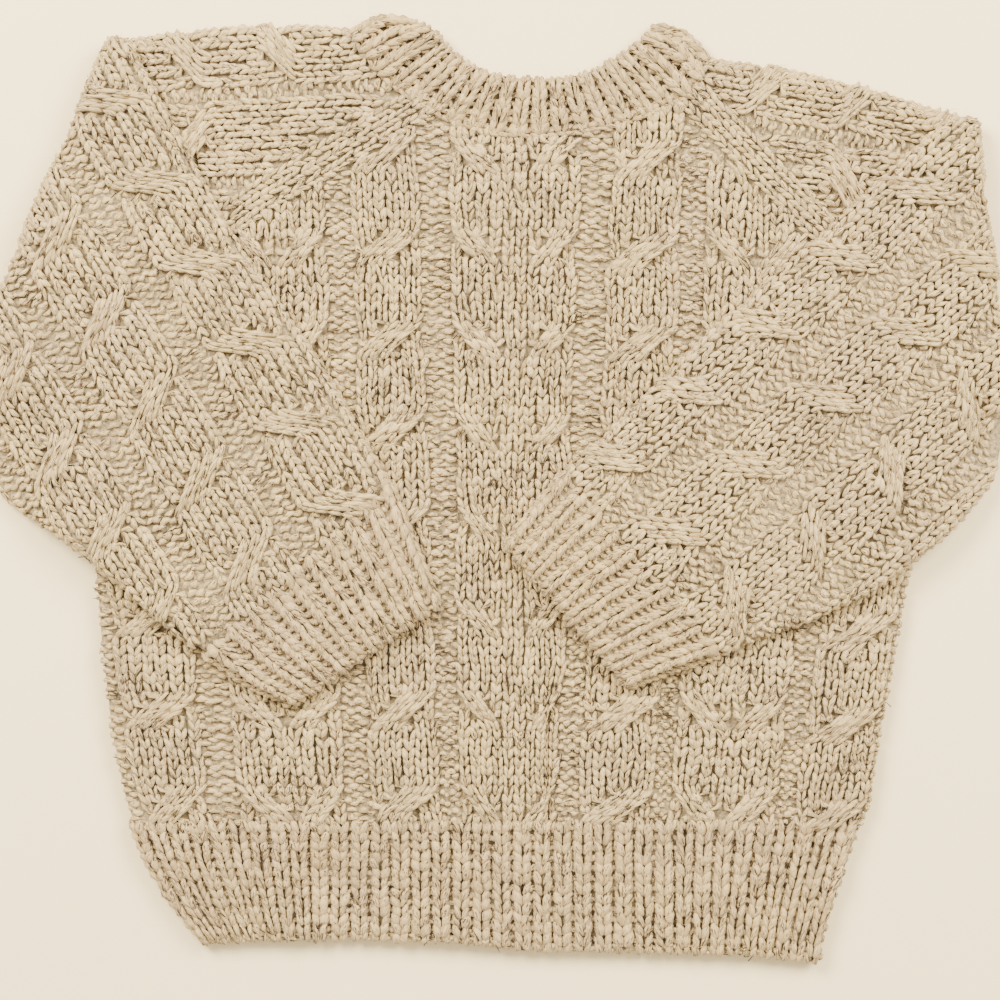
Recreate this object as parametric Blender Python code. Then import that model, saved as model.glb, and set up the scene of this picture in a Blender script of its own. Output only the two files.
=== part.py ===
"""A hand-knitted raglan sweater laid flat on its back, with both sleeves folded over the front.

Frame: metres, +Z up, hem towards -Y and neck towards +Y. The origin is at the middle of the
sweater's box, on the surface that it lies on.

Every piece is knitted cloth of one wall thickness. Front and back are two flat panels, one on the
other, and sleeves, cuffs and neckband are flattened tubes of the same two layers, open at both
ends. Each sleeve runs out from its raglan seam, turns up and over at its fold line and comes back
across the front, and it sinks to the surface where nothing lies under it.
"""

import math

import bmesh
import bpy
import numpy as np

MM = 0.001

# Driving sizes, in millimetres
WALL = 5.0            # chunky cabled cloth
LAYER_GAP = 0.3       # between one layer of cloth and the next
SEAM_STEP = 0.6       # the sleeve stands this far outward of the seam line
NECK_STEP = 0.45      # panels end this far below the neck line and above the hem line
FOLD_SPACE = 2.0      # radius that stays open inside the sleeve's fold
RIM_ROUND = 1.2       # how much a worked edge rounds off at its rim
SIDE_LIP = 0.6        # upright edge left where a panel's side rounds off

# Middle of the tables' box, which becomes the origin
LAYOUT_MIDDLE = (-2.86, -0.6)

TUBE = 2 * WALL + LAYER_GAP          # thickness of two layers
TUBE_HALF = TUBE / 2
SLIT_HALF = LAYER_GAP / 2
ON_BODY = TUBE + LAYER_GAP           # height at which a folded sleeve rests on the body

# Where an overhanging sleeve starts to sink, and where it has reached the surface
DROP_START = 12.0
DROP_END = 58.0

# Side seams: width of the body at each height, from the hem's edge to the armpits
SIDE_SEAMS = [
    # y, left x, right x
    (-284.0, -170.0, 196.0),
    (-271.0, -176.0, 198.0),
    (-250.0, -194.0, 204.0),
    (-220.0, -212.0, 214.0),
    (-202.0, -219.0, 220.0),
    (-184.0, -225.0, 226.0),
    (-145.0, -233.0, 233.0),
    (-94.0, -239.0, 242.0),
    (-40.0, -243.0, 252.0),
    (20.0, -242.0, 253.0),
    (85.0, -238.0, 251.0),
]
HEM_LINE = -202.0     # where the ribbed hem meets the cabled panel

# The hem's lower edge: the cast-off hangs a little lower towards the right side seam
HEM_EDGE = [
    # share of the width, y
    (0.00, -271.0),
    (0.16, -269.0),
    (0.31, -268.5),
    (0.43, -270.0),
    (0.54, -275.0),
    (0.86, -277.5),
    (1.00, -283.0),
]

# Neck: seam line and rim of the band, from the left shoulder round the front to the right one
NECK_TABLE = [
    # seam x, seam y, rim x, rim y
    (-85.0, 277.0, -52.0, 282.0),
    (-67.0, 253.0, -37.0, 276.0),
    (-43.0, 235.0, -27.0, 265.0),
    (-16.0, 222.0, -8.0, 252.5),
    (14.0, 217.0, 14.0, 248.0),
    (50.0, 219.0, 47.0, 249.0),
    (86.0, 228.0, 69.0, 258.0),
    (114.0, 242.0, 83.0, 268.0),
    (124.0, 260.0, 94.0, 277.0),
]
BAND_SHARES = (0.0, 0.33, 0.67, 0.94, 1.0)
NECK_LEFT_FRONT = 2      # row of NECK_TABLE where the left raglan seam starts
NECK_RIGHT_FRONT = 7     # row of NECK_TABLE where the right raglan seam starts

# Raglan seams below the neck: middle and armpit
RAGLAN_LEFT = [(-157.0, 166.0), (-238.0, 85.0)]
RAGLAN_RIGHT = [(200.0, 154.0), (251.0, 85.0)]

# Where each named point of the raglan line falls across the sleeve, shoulder edge to underarm
RAGLAN_SHARES = (0.0, 0.1, 0.2, 0.6, 1.0)
SLEEVE_STATIONS = np.array([0.0, 0.1, 0.2, 0.3, 0.4, 0.5, 0.6, 0.68, 0.76, 0.84, 0.92, 1.0])
SHARES_TO_FOLD = (0.0, 0.3, 0.65)    # rows between the raglan seam and the fold line
SHOULDER_SWELL = 4.5                 # how far the shoulder edge bows out on its way to the fold
FOLD_STEPS = 6
ROWS_PER_STEP = 2                    # rows drawn for each row of a sleeve's table

# Fold lines: shoulder end and underarm end of the line that the sleeve turns about
FOLD_LEFT = [(-218.0, 271.0), (-303.0, 78.0)]
FOLD_RIGHT = [(274.0, 225.0), (295.0, 62.0)]

# Folded sleeves, from the fold line down to the cuff's seam
SLEEVE_LEFT = [
    # shoulder edge x, y, underarm edge x, y, lift
    (-218.0, 271.0, -308.0, 75.0, 3.7),
    (-209.0, 249.0, -311.0, 54.0, 3.0),
    (-190.0, 214.0, -309.0, 26.0, 1.2),
    (-168.0, 172.0, -297.0, -2.0, 0.2),
    (-144.0, 132.0, -268.0, -24.0, 0.0),
    (-117.0, 95.0, -240.0, -43.0, 0.0),
    (-90.0, 52.0, -207.0, -71.0, 0.0),
    (-62.0, 2.0, -173.0, -99.0, 0.0),
]
CUFF_LEFT = [(-62.0, 2.0, -173.0, -99.0), (-48.0, -33.0, -146.0, -117.0), (-34.0, -68.0, -122.0, -128.0)]

SLEEVE_RIGHT = [
    # shoulder edge x, y, underarm edge x, y, lift
    (274.0, 225.0, 301.0, 60.0, 3.7),
    (258.0, 212.0, 305.0, 42.0, 3.0),
    (232.0, 188.0, 301.0, 12.0, 1.2),
    (203.0, 161.0, 280.0, -15.0, 0.2),
    (175.0, 136.0, 251.0, -41.0, 0.0),
    (146.0, 111.0, 223.0, -60.0, 0.0),
    (116.0, 84.0, 190.0, -76.0, 0.0),
    (79.0, 46.0, 162.0, -87.0, 0.0),
    (40.0, 10.0, 133.0, -98.0, 0.0),
]
CUFF_RIGHT = [(40.0, 10.0, 133.0, -98.0), (22.0, -11.0, 105.0, -107.0), (5.0, -32.0, 79.0, -117.0)]

# Grid of the body panels
PANEL_ROWS = 12
HEM_ROWS = 4
SIDE_ROUND = (0.0, 0.7, 2.2, WALL)   # distances in from a side seam where the rounding is drawn
PANEL_STATIONS = (-200.0, -157.0, -100.0, -43.0, -16.0, 14.0, 50.0, 86.0, 114.0, 157.0, 200.0, 226.0)

END_STEPS = 4         # steps round the folded edge of a tube

YARN = (0.66, 0.58, 0.47)


def make_material(name, shade):
    """One yarn finish; shade lightens or darkens it a little so that the pieces read apart."""
    material = bpy.data.materials.new(name)
    material.use_nodes = True
    shader = material.node_tree.nodes["Principled BSDF"]
    shader.inputs["Base Color"].default_value = [channel * shade for channel in YARN] + [1.0]
    shader.inputs["Roughness"].default_value = 0.95
    shader.inputs["Metallic"].default_value = 0.0
    return material


def add_piece(name, points, faces, shade):
    """Make one closed solid from points in millimetres and give it its yarn."""
    mesh = bpy.data.meshes.new(name)
    placed = (np.asarray(points) - np.array([*LAYOUT_MIDDLE, 0.0])) * MM
    mesh.from_pydata([tuple(point) for point in placed], [], faces)
    shell = bmesh.new()
    shell.from_mesh(mesh)
    bmesh.ops.triangulate(shell, faces=shell.faces)
    bmesh.ops.recalc_face_normals(shell, faces=shell.faces)
    shell.to_mesh(mesh)
    shell.free()
    piece = bpy.data.objects.new(name, mesh)
    bpy.context.scene.collection.objects.link(piece)
    mesh.materials.append(make_material(name, shade))
    mesh.shade_smooth()
    mesh.set_sharp_from_angle(angle=math.radians(40))
    return piece


def unit(vector):
    return vector / np.linalg.norm(vector)


def mix(start, end, share):
    return start + (end - start) * share


def smooth_step(value, low, high):
    """0 below low, 1 above high, with a soft rise between them."""
    share = np.clip((value - low) / (high - low), 0.0, 1.0)
    return share * share * (3 - 2 * share)


# Body panels

def side_x(height, column):
    """X of a side seam at each height; column 1 is the left seam and 2 the right one."""
    table = np.array(SIDE_SEAMS)
    return np.interp(height, table[:, 0], table[:, column])


def panel_shares():
    """Shares of the body's width at which the panels' columns stand, close together at the sides."""
    left, right = SIDE_SEAMS[-1][1:]
    edge = np.array(SIDE_ROUND)
    stations = np.concatenate([left + edge, PANEL_STATIONS, (right - edge)[::-1]])
    return (stations - left) / (right - left)


def top_line(shares):
    """Height of the panels' upper edge at each share: raglan, neck and raglan again."""
    neck = [(x, y - NECK_STEP) for x, y, *_ in NECK_TABLE[NECK_LEFT_FRONT:NECK_RIGHT_FRONT + 1]]
    line = np.array(RAGLAN_LEFT[::-1] + neck + RAGLAN_RIGHT)
    left, right = line[0, 0], line[-1, 0]
    return np.interp(left + shares * (right - left), line[:, 0], line[:, 1])


def side_rise(plan):
    """How far the cloth has risen to its full wall at each column, a quarter round at the sides."""
    radius = WALL - SIDE_LIP
    inset = np.minimum(plan[:, :, 0] - plan[:1, :, 0], plan[-1:, :, 0] - plan[:, :, 0])
    reach = np.clip(inset / radius, 0.0, 1.0)
    return SIDE_LIP + radius * np.sqrt(1 - (1 - reach) ** 2)


def panel_plan(low, high, steps):
    """Plan of a panel: columns at the panel's shares, rows from the low line up to the high one."""
    shares = panel_shares()
    heights = low[:, None] + (high - low)[:, None] * steps[None, :]
    left = side_x(heights, 1)
    right = side_x(heights, 2)
    return np.stack([left + (right - left) * shares[:, None], heights], axis=2)


def add_panel(name, plan, is_front, rim, shade):
    """A slab on a plan grid, rounded at its sides and, where rim is given, thinned at its low edge."""
    columns, rows = plan.shape[:2]
    rise = side_rise(plan)
    if rim:
        rise[:, 0] = np.minimum(rise[:, 0], WALL - rim)
    flat = np.full((columns, rows), WALL + LAYER_GAP if is_front else WALL)
    round_face = flat + rise if is_front else flat - rise
    low, high = (flat, round_face) if is_front else (round_face, flat)
    points = np.concatenate([
        np.dstack([plan, high]).reshape(-1, 3),
        np.dstack([plan, low]).reshape(-1, 3),
    ])
    under = columns * rows

    def at(column, row):
        return column * rows + row

    faces = []
    for column in range(columns - 1):
        for row in range(rows - 1):
            quad = [at(column, row), at(column + 1, row), at(column + 1, row + 1), at(column, row + 1)]
            faces.append(quad)
            faces.append([under + corner for corner in reversed(quad)])
    border = [at(column, 0) for column in range(columns)]
    border += [at(columns - 1, row) for row in range(1, rows)]
    border += [at(column, rows - 1) for column in range(columns - 2, -1, -1)]
    border += [at(0, row) for row in range(rows - 2, 0, -1)]
    for here, there in zip(border, border[1:] + border[:1]):
        faces.append([here, under + here, under + there, there])
    return add_piece(name, points, faces, shade)


def build_body():
    """Front and back, and the ribbed hem of each."""
    shares = panel_shares()
    seam = np.full_like(shares, HEM_LINE)
    rows = np.linspace(0.0, 1.0, PANEL_ROWS + 1)
    panel = panel_plan(seam, top_line(shares), rows)
    edge_table = np.array(HEM_EDGE)
    edge = np.interp(shares, edge_table[:, 0], edge_table[:, 1])
    hem_rows = np.concatenate([[0.0, 0.03], np.linspace(0.0, 1.0, HEM_ROWS + 1)[1:]])
    hem = panel_plan(edge, seam - NECK_STEP, hem_rows)
    for layer, is_front, shade in (("back", False, 0.8), ("front", True, 1.0)):
        add_panel(layer, panel, is_front, 0.0, shade)
        add_panel("hem_" + layer, hem, is_front, RIM_ROUND, shade * 0.9)


# Flattened tubes

def ring(line, half, toward_back):
    """Loop round a flattened tube: its back layer, a rounded fold, its front layer, a rounded fold.

    line runs from one folded edge to the other, half is half the thickness that the loop goes
    round, and toward_back points from the front layer to the back one.
    """
    turn = np.linspace(0.0, math.pi, END_STEPS + 1)[1:-1, None]
    far_side = unit(line[-1] - line[-2])
    near_side = unit(line[0] - line[1])
    far_fold = line[-1] + half * (np.cos(turn) * toward_back + np.sin(turn) * far_side)
    near_fold = line[0] + half * (np.sin(turn) * near_side - np.cos(turn) * toward_back)
    return np.concatenate([line + half * toward_back, far_fold, (line - half * toward_back)[::-1], near_fold])


def pull_in(line, amount):
    """Shorten a line at both ends, so that the rounded folds end where the line did."""
    short = line.copy()
    short[0] += unit(line[1] - line[0]) * amount
    short[-1] += unit(line[-2] - line[-1]) * amount
    return short


def add_tube(name, rows, shade):
    """A flattened tube through rows of (line, back direction, how far its wall is thinned)."""
    outer = np.array([ring(line, TUBE_HALF - thin, back) for line, back, thin in rows])
    inner = np.array([ring(line, SLIT_HALF + thin / 2, back) for line, back, thin in rows])
    count, around = outer.shape[:2]
    points = np.concatenate([outer.reshape(-1, 3), inner.reshape(-1, 3)])
    inside = count * around
    faces = []
    for row in range(count - 1):
        for step in range(around):
            after = (step + 1) % around
            here, there = row * around, (row + 1) * around
            faces.append([here + step, here + after, there + after, there + step])
            faces.append([inside + here + step, inside + there + step, inside + there + after, inside + here + after])
    for step in range(around):
        after = (step + 1) % around
        last = (count - 1) * around
        faces.append([step, inside + step, inside + after, after])
        faces.append([last + step, last + after, inside + last + after, inside + last + step])
    return add_piece(name, points, faces, shade)


def level(plan, height):
    """Plan points at one height, or at a height each."""
    return np.column_stack([plan, np.broadcast_to(height, len(plan))])


def build_neckband():
    """The ribbed band: a flattened ring whose rows run from the neck's seam line up to its rim."""
    table = np.array(NECK_TABLE)
    down = np.array([0.0, 0.0, -1.0])
    rows = []
    for share in BAND_SHARES:
        plan = mix(table[:, :2], table[:, 2:], share)
        thin = RIM_ROUND / 2 if share == 1.0 else 0.0
        rows.append((pull_in(level(plan, TUBE_HALF), TUBE_HALF), down, thin))
    return add_tube("neckband", rows, 0.95)


# Sleeves

def raglan_line(side):
    """The seam line of a sleeve from the shoulder, down the neck and the raglan, to the armpit."""
    if side < 0:
        neck = [row[:2] for row in NECK_TABLE[:NECK_LEFT_FRONT + 1]]
        named = np.array(neck + RAGLAN_LEFT)
    else:
        neck = [NECK_TABLE[-1][:2], mix(np.array(NECK_TABLE[-1][:2]), np.array(NECK_TABLE[-2][:2]), 0.5)]
        named = np.array(neck + [NECK_TABLE[NECK_RIGHT_FRONT][:2]] + RAGLAN_RIGHT)
    named[:, 0] += side * SEAM_STEP
    return np.column_stack([np.interp(SLEEVE_STATIONS, RAGLAN_SHARES, named[:, axis]) for axis in (0, 1)])


def straight_line(start, end):
    return mix(np.array(start), np.array(end), SLEEVE_STATIONS[:, None])


def toward_fold(seam, fold_line, share):
    """A line between the raglan seam and the fold, its shoulder end bowed out a little."""
    line = mix(seam, fold_line, share)
    line[:, 1] += SHOULDER_SWELL * 4 * share * (1 - share) * (1 - SLEEVE_STATIONS)
    return line


def soft_rows(table):
    """Rows on a smooth curve through a sleeve's table: a Catmull-Rom curve, ends included."""
    rows = np.array(table)
    padded = np.concatenate([2 * rows[:1] - rows[1:2], rows, 2 * rows[-1:] - rows[-2:-1]])
    drawn = []
    for step in range(len(rows) - 1):
        before, start, end, after = padded[step:step + 4]
        for part in range(ROWS_PER_STEP):
            t = part / ROWS_PER_STEP
            bend = (2 * before - 5 * start + 4 * end - after) * t ** 2 + (3 * (start - end) + after - before) * t ** 3
            drawn.append(start + 0.5 * ((end - before) * t + bend))
    return drawn[1:] + [rows[-1]]


def rest_height(plan, side, underarm):
    """Height of what lies under a folded sleeve: the body and the sleeve itself, or the surface.

    The overhang is the distance past the side seam or below the underarm, whichever is less.
    """
    past_side = side * (plan[:, 0] - side_x(plan[:, 1], 1 if side < 0 else 2))
    below_arm = underarm - plan[:, 1]
    return ON_BODY * (1 - smooth_step(np.minimum(past_side, below_arm), DROP_START, DROP_END))


def folded_row(start, end, lift, side, underarm):
    """One line across a folded sleeve, resting on what is under it."""
    plan = pull_in(straight_line(start, end), TUBE_HALF)
    rest = rest_height(plan, side, underarm)
    return level(plan, rest * (1 + lift / ON_BODY) + TUBE_HALF)


def build_sleeve(name, side, fold, table):
    """A sleeve from its raglan seam out to the fold line, over it and back down to its cuff."""
    up = np.array([0.0, 0.0, 1.0])
    rows = []
    seam = raglan_line(side)
    fold_line = straight_line(*fold)
    for share in SHARES_TO_FOLD:
        line = level(toward_fold(seam, fold_line, share), TUBE_HALF)
        rows.append((pull_in(line, TUBE_HALF), -up, 0.0))
    along = unit(fold_line[0] - fold_line[-1])
    outward = side * np.array([along[1], -along[0], 0.0])
    turn_radius = TUBE_HALF + FOLD_SPACE
    pivot = pull_in(level(fold_line, TUBE_HALF + turn_radius), TUBE_HALF)
    for turn in np.linspace(0.0, math.pi, FOLD_STEPS + 1):
        toward_back = math.sin(turn) * outward - math.cos(turn) * up
        rows.append((pivot + turn_radius * toward_back, toward_back, 0.0))
    underarm = (RAGLAN_LEFT if side < 0 else RAGLAN_RIGHT)[-1][1]
    for top_x, top_y, under_x, under_y, lift in soft_rows(table):
        rows.append((folded_row((top_x, top_y), (under_x, under_y), lift, side, underarm), up, 0.0))
    return add_tube(name, rows, 1.05)


def build_cuff(name, side, table):
    """The ribbed cuff, a seam's gap beyond the sleeve and narrower at its rim."""
    up = np.array([0.0, 0.0, 1.0])
    seam, middle, edge = [np.array(row) for row in table]
    seam = seam + unit(middle - seam) * SEAM_STEP
    underarm = (RAGLAN_LEFT if side < 0 else RAGLAN_RIGHT)[-1][1]
    rows = []
    for line, thin in ((seam, 0.0), (middle, 0.0), (mix(middle, edge, 0.95), 0.0), (edge, RIM_ROUND / 2)):
        rows.append((folded_row(line[:2], line[2:], 0.0, side, underarm), up, thin))
    return add_tube(name, rows, 0.9)


def build_sweater():
    """All nine cut pieces, in the order a maker sews them."""
    build_body()
    build_sleeve("sleeve_left", -1, FOLD_LEFT, SLEEVE_LEFT)
    build_sleeve("sleeve_right", 1, FOLD_RIGHT, SLEEVE_RIGHT)
    build_cuff("cuff_left", -1, CUFF_LEFT)
    build_cuff("cuff_right", 1, CUFF_RIGHT)
    build_neckband()


for old in list(bpy.data.objects):
    bpy.data.objects.remove(old, do_unlink=True)
build_sweater()
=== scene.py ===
"""Looks of a hand-knitted cabled raglan sweater, laid flat with both sleeves folded over its front.

Every cut piece is a closed shell of cloth with its stitches knitted on top of it. A stitch is two
plump legs of yarn. A chart says which wales are knit, purl or cabled, and how far a cable carries
each wale sideways and how high it stands, row by row. A surface carries the chart over the cloth.

Lengths in the tables are millimetres in the sweater's own layout; LAYOUT_MIDDLE is their origin.
"""

import logging
import math
from collections.abc import Callable
from dataclasses import dataclass, field
from enum import Enum

import bpy
import numpy as np
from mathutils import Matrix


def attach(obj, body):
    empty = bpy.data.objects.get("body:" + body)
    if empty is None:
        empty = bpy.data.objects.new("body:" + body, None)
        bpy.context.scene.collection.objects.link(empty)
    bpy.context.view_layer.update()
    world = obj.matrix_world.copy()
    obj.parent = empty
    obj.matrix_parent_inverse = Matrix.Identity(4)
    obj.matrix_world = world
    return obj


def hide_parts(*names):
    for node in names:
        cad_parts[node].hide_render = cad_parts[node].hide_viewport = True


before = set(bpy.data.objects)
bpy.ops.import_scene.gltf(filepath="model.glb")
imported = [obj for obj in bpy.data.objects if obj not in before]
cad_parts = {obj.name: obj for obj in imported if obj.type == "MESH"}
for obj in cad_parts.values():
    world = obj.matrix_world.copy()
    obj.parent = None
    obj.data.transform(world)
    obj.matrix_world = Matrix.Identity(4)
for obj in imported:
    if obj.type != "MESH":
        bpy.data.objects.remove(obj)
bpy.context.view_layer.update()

LOG = logging.getLogger("sweater")
MM = 0.001
SEED = 11
LAYOUT_MIDDLE = (-2.86, -0.6)
UP = np.array([0.0, 0.0, 1.0])

# Cloth
WALL = 5.0
LAYER_GAP = 0.3
TUBE = 2 * WALL + LAYER_GAP
TUBE_HALF = TUBE / 2
ON_BODY = TUBE + LAYER_GAP
FOLD_SPACE = 2.0
FOLD_RADIUS = TUBE + FOLD_SPACE  # outside of the sleeve's fold
SHELL_INSET = 1.8  # the shell lies this far inside the cloth's face
SHELL_LEAST = 0.3  # the least thickness of a slab's shell
UNDER_LIFT = -1.0  # stitches that look down are sunk by this much
DROP_START = 12.0  # past the body's edge a sleeve starts to sink here
DROP_END = 58.0  # and here it lies on the floor
FOLD_LIFT = 3.7  # how much higher the sleeve lies beside its fold
FOLD_SETTLE = 48.0  # distance in which it sinks to the body

# Gauge
STITCH = 7.7  # width of a wale
ROW = 5.57  # height of a row
CAP_STITCH = 7.6  # width of a wale of a sleeve before its fold

SIDE_SEAMS = [
    # y, left x, right x
    (-284.0, -170.0, 196.0),
    (-271.0, -176.0, 198.0),
    (-250.0, -194.0, 204.0),
    (-220.0, -212.0, 214.0),
    (-202.0, -219.0, 220.0),
    (-184.0, -225.0, 226.0),
    (-145.0, -233.0, 233.0),
    (-94.0, -239.0, 242.0),
    (-40.0, -243.0, 252.0),
    (20.0, -242.0, 253.0),
    (85.0, -238.0, 251.0),
]
HEM_LINE = -202.0
HEM_EDGE = [
    # share of the width, y
    (0.00, -271.0),
    (0.16, -269.0),
    (0.31, -268.5),
    (0.43, -270.0),
    (0.54, -275.0),
    (0.86, -277.5),
    (1.00, -283.0),
]
NECK_TABLE = [
    # seam x, seam y, rim x, rim y
    (-85.0, 277.0, -52.0, 282.0),
    (-67.0, 253.0, -37.0, 276.0),
    (-43.0, 235.0, -27.0, 265.0),
    (-16.0, 222.0, -8.0, 252.5),
    (14.0, 217.0, 14.0, 248.0),
    (50.0, 219.0, 47.0, 249.0),
    (86.0, 228.0, 69.0, 258.0),
    (114.0, 242.0, 83.0, 268.0),
    (124.0, 260.0, 94.0, 277.0),
]
RAGLAN_LEFT = [(-43.0, 235.0), (-100.0, 201.0), (-157.0, 166.0), (-200.0, 128.0), (-238.0, 85.0)]
RAGLAN_RIGHT = [(114.0, 242.0), (157.0, 198.0), (200.0, 154.0), (228.0, 120.0), (251.0, 85.0)]

# Where the wales of the body run, from the left side seam to the right one
WALE_LINES = [
    # wale, x at the yoke, x at the hem
    (0, -239.4, -227.4),
    (1, -228.6, -218.4),
    (7, -183.6, -174.6),
    (9, -164.4, -156.0),
    (17, -101.4, -90.6),
    (19, -86.4, -75.0),
    (25, -45.0, -33.6),
    (27, -27.0, -21.6),
    (37, 49.2, 39.0),
    (39, 67.8, 51.6),
    (45, 110.4, 95.4),
    (47, 125.4, 105.6),
    (55, 189.6, 172.2),
    (57, 205.2, 183.6),
    (63, 245.4, 228.0),
    (64, 254.4, 232.8),
]
YOKE_LEVEL = 145.0
HEM_LEVEL = -179.0
BODY_WALES = 64
BODY_ROWS = 82
ROW_SAG = 9.0  # how far the rows hang down by the right side seam


def unit(vector: np.ndarray) -> np.ndarray:
    """A vector, or each row of vectors, at length one."""
    return vector / np.maximum(np.linalg.norm(vector, axis=-1, keepdims=True), 1e-9)


def smooth_step(value: np.ndarray, low: float, high: float) -> np.ndarray:
    """0 below low and 1 above high, with the cubic 3t^2 - 2t^3 between them."""
    share = np.clip((value - low) / (high - low), 0.0, 1.0)
    return share * share * (3 - 2 * share)


def ripple(x: np.ndarray, y: np.ndarray, length: float, seed: int) -> np.ndarray:
    """Slow waves over a plan: a sum of five sines of about one wavelength in set directions.

    Args:
        x, y: plan coordinates in millimetres.
        length: the typical wavelength in millimetres.
        seed: which of the many such patterns.

    Returns:
        Values of about -1 to 1, one for each point.
    """
    rng = np.random.default_rng(seed)
    total = np.zeros(np.broadcast(x, y).shape)
    for _ in range(5):
        angle, phase, scale = rng.uniform(0, math.tau), rng.uniform(0, math.tau), rng.uniform(0.7, 1.5)
        reach = x * math.cos(angle) + y * math.sin(angle)
        total += np.sin(reach * math.tau / (length * scale) + phase)
    return total / 2.6


class PlanCurve:
    """A smooth curve through a table's points: a Catmull-Rom curve that is read by distance."""

    def __init__(self, knots: list, steps: int = 24) -> None:
        """Draw the curve in short steps and measure along it.

        Args:
            knots: points that it passes through.
            steps: pieces from each point to the next.
        """
        points = np.asarray(knots, float)
        padded = np.concatenate([2 * points[:1] - points[1:2], points, 2 * points[-1:] - points[-2:-1]])
        before, start = padded[:-3, None], padded[1:-2, None]
        end, after = padded[2:-1, None], padded[3:, None]
        t = (np.arange(steps) / steps)[None, :, None]
        bend = (2 * before - 5 * start + 4 * end - after) * t ** 2
        bend = bend + (3 * (start - end) + after - before) * t ** 3
        drawn = start + 0.5 * ((end - before) * t + bend)
        self.points = np.concatenate([drawn.reshape(-1, points.shape[1]), points[-1:]])
        steps_long = np.linalg.norm(np.diff(self.points[:, :2], axis=0), axis=1)
        self.reach = np.concatenate([[0.0], np.cumsum(steps_long)])
        self.length = float(self.reach[-1])

    def at(self, distance: np.ndarray) -> np.ndarray:
        """Points at distances along the curve; past its ends it runs on straight.

        Args:
            distance: millimetres from its start.

        Returns:
            Points of shape (..., 2).
        """
        distance = np.asarray(distance, float)
        held = np.clip(distance, 0.0, self.length)
        found = np.stack([np.interp(held, self.reach, axis) for axis in self.points.T], axis=-1)
        first, last = unit(self.points[1] - self.points[0]), unit(self.points[-1] - self.points[-2])
        past = (distance - held)[..., None]
        return found + np.where(past < 0, first, last) * past

    def heading(self, distance: np.ndarray) -> np.ndarray:
        """Unit direction of the curve, from points 2 mm either side."""
        return unit(self.at(np.asarray(distance) + 2.0) - self.at(np.asarray(distance) - 2.0))

    def beside(self, distance: np.ndarray, away: np.ndarray, height: np.ndarray) -> np.ndarray:
        """Points beside the curve: the point at a distance, moved square to its heading.

        Args:
            distance: millimetres from the curve's start.
            away: how far to its left.
            height: height of the points.

        Returns:
            Points of shape (..., 3).
        """
        heading = self.heading(distance)
        square = np.stack([-heading[..., 1], heading[..., 0]], axis=-1)
        point = self.at(distance) + square * away[..., None]
        return np.concatenate([point, height[..., None]], axis=-1)


def side_x(height: np.ndarray, column: int) -> np.ndarray:
    """X of a side seam at each height; column 1 is the left seam and 2 the right one."""
    table = np.array(SIDE_SEAMS)
    return np.interp(height, table[:, 0], table[:, column])


def edge_distance(points: np.ndarray, line: np.ndarray, closed: bool = False) -> np.ndarray:
    """Distance of each plan point from a polyline: the least distance to any of its pieces.

    Args:
        points: (n, 2) places.
        line: (m, 2) points of the polyline.
        closed: whether its end joins its start.

    Returns:
        (n,) distances.
    """
    ends = np.roll(line, -1, axis=0) if closed else line[1:]
    starts = line if closed else line[:-1]
    run = ends - starts
    reach = points[:, None, :] - starts[None]
    share = np.clip((reach * run).sum(-1) / np.maximum((run * run).sum(-1), 1e-9), 0.0, 1.0)
    return np.linalg.norm(reach - share[..., None] * run, axis=-1).min(axis=1)


def inside(points: np.ndarray, outline: np.ndarray) -> np.ndarray:
    """Whether each plan point lies in a closed outline, by counting crossings to its right.

    Args:
        points: (n, 2) places.
        outline: (m, 2) corners.

    Returns:
        (n,) truths.
    """
    start, end = outline, np.roll(outline, -1, axis=0)
    px, py = points[:, 0, None], points[:, 1, None]
    spans = (start[:, 1] > py) != (end[:, 1] > py)
    slope = (end[:, 0] - start[:, 0]) / np.where(end[:, 1] == start[:, 1], 1e-9, end[:, 1] - start[:, 1])
    crossing = start[:, 0] + (py - start[:, 1]) * slope
    return (spans & (px < crossing)).sum(axis=1) % 2 == 1


def depth_inside(points: np.ndarray, outline: np.ndarray) -> np.ndarray:
    """How deep each point lies inside an outline, negative outside it."""
    distance = edge_distance(points, outline, closed=True)
    return np.where(inside(points, outline), distance, -distance)


def fine_ended(count: int) -> np.ndarray:
    """Shares from 0 to 1, even but for three short steps at each end, where cloth rounds over."""
    return np.concatenate([[0.0, 0.003, 0.008], np.linspace(0.015, 0.985, count), [0.992, 0.997, 1.0]])


def every_stitch(wales: int, first_row: int, end_row: int) -> tuple:
    """The wale and the row number of each stitch of so many wales, from one row up to another."""
    wale, row = np.meshgrid(np.arange(wales), np.arange(first_row, end_row), indexing="ij")
    return wale.ravel(), row.ravel()


# ---- Charts ----

class Stitch(Enum):
    """The stitches that the sweater is knitted in."""

    KNIT = 0
    PURL = 1
    RIB = 2
    RIB_BACK = 3


class Lean(Enum):
    """Which way the strand in front of a cable's crossing leans on its way up."""

    RIGHT = 1
    LEFT = -1


CROSSING_ROWS = 4.8  # rows that a crossing takes
CROSSING_REPEAT = 10.0  # rows from one crossing to the next
CABLE_CROWN = 1.4  # how high the middle of a rope stands over its edges
STRAND_OVER = 2.8  # rise of the front strand at a crossing
STRAND_UNDER = 1.0  # drop of the back strand there
CABLE_PINCH = 0.09  # share by which a rope draws in where it crosses
PURL_DEPTH = 1.0  # how far purl wales lie below knit ones
RIB_RISE = 0.8  # how high a rib's knit wale stands
RIB_SINK = 0.9  # how low its purl wale lies
STRAND_TUCK = 0.95  # how far one leg of each stitch sinks where its wale slants


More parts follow.
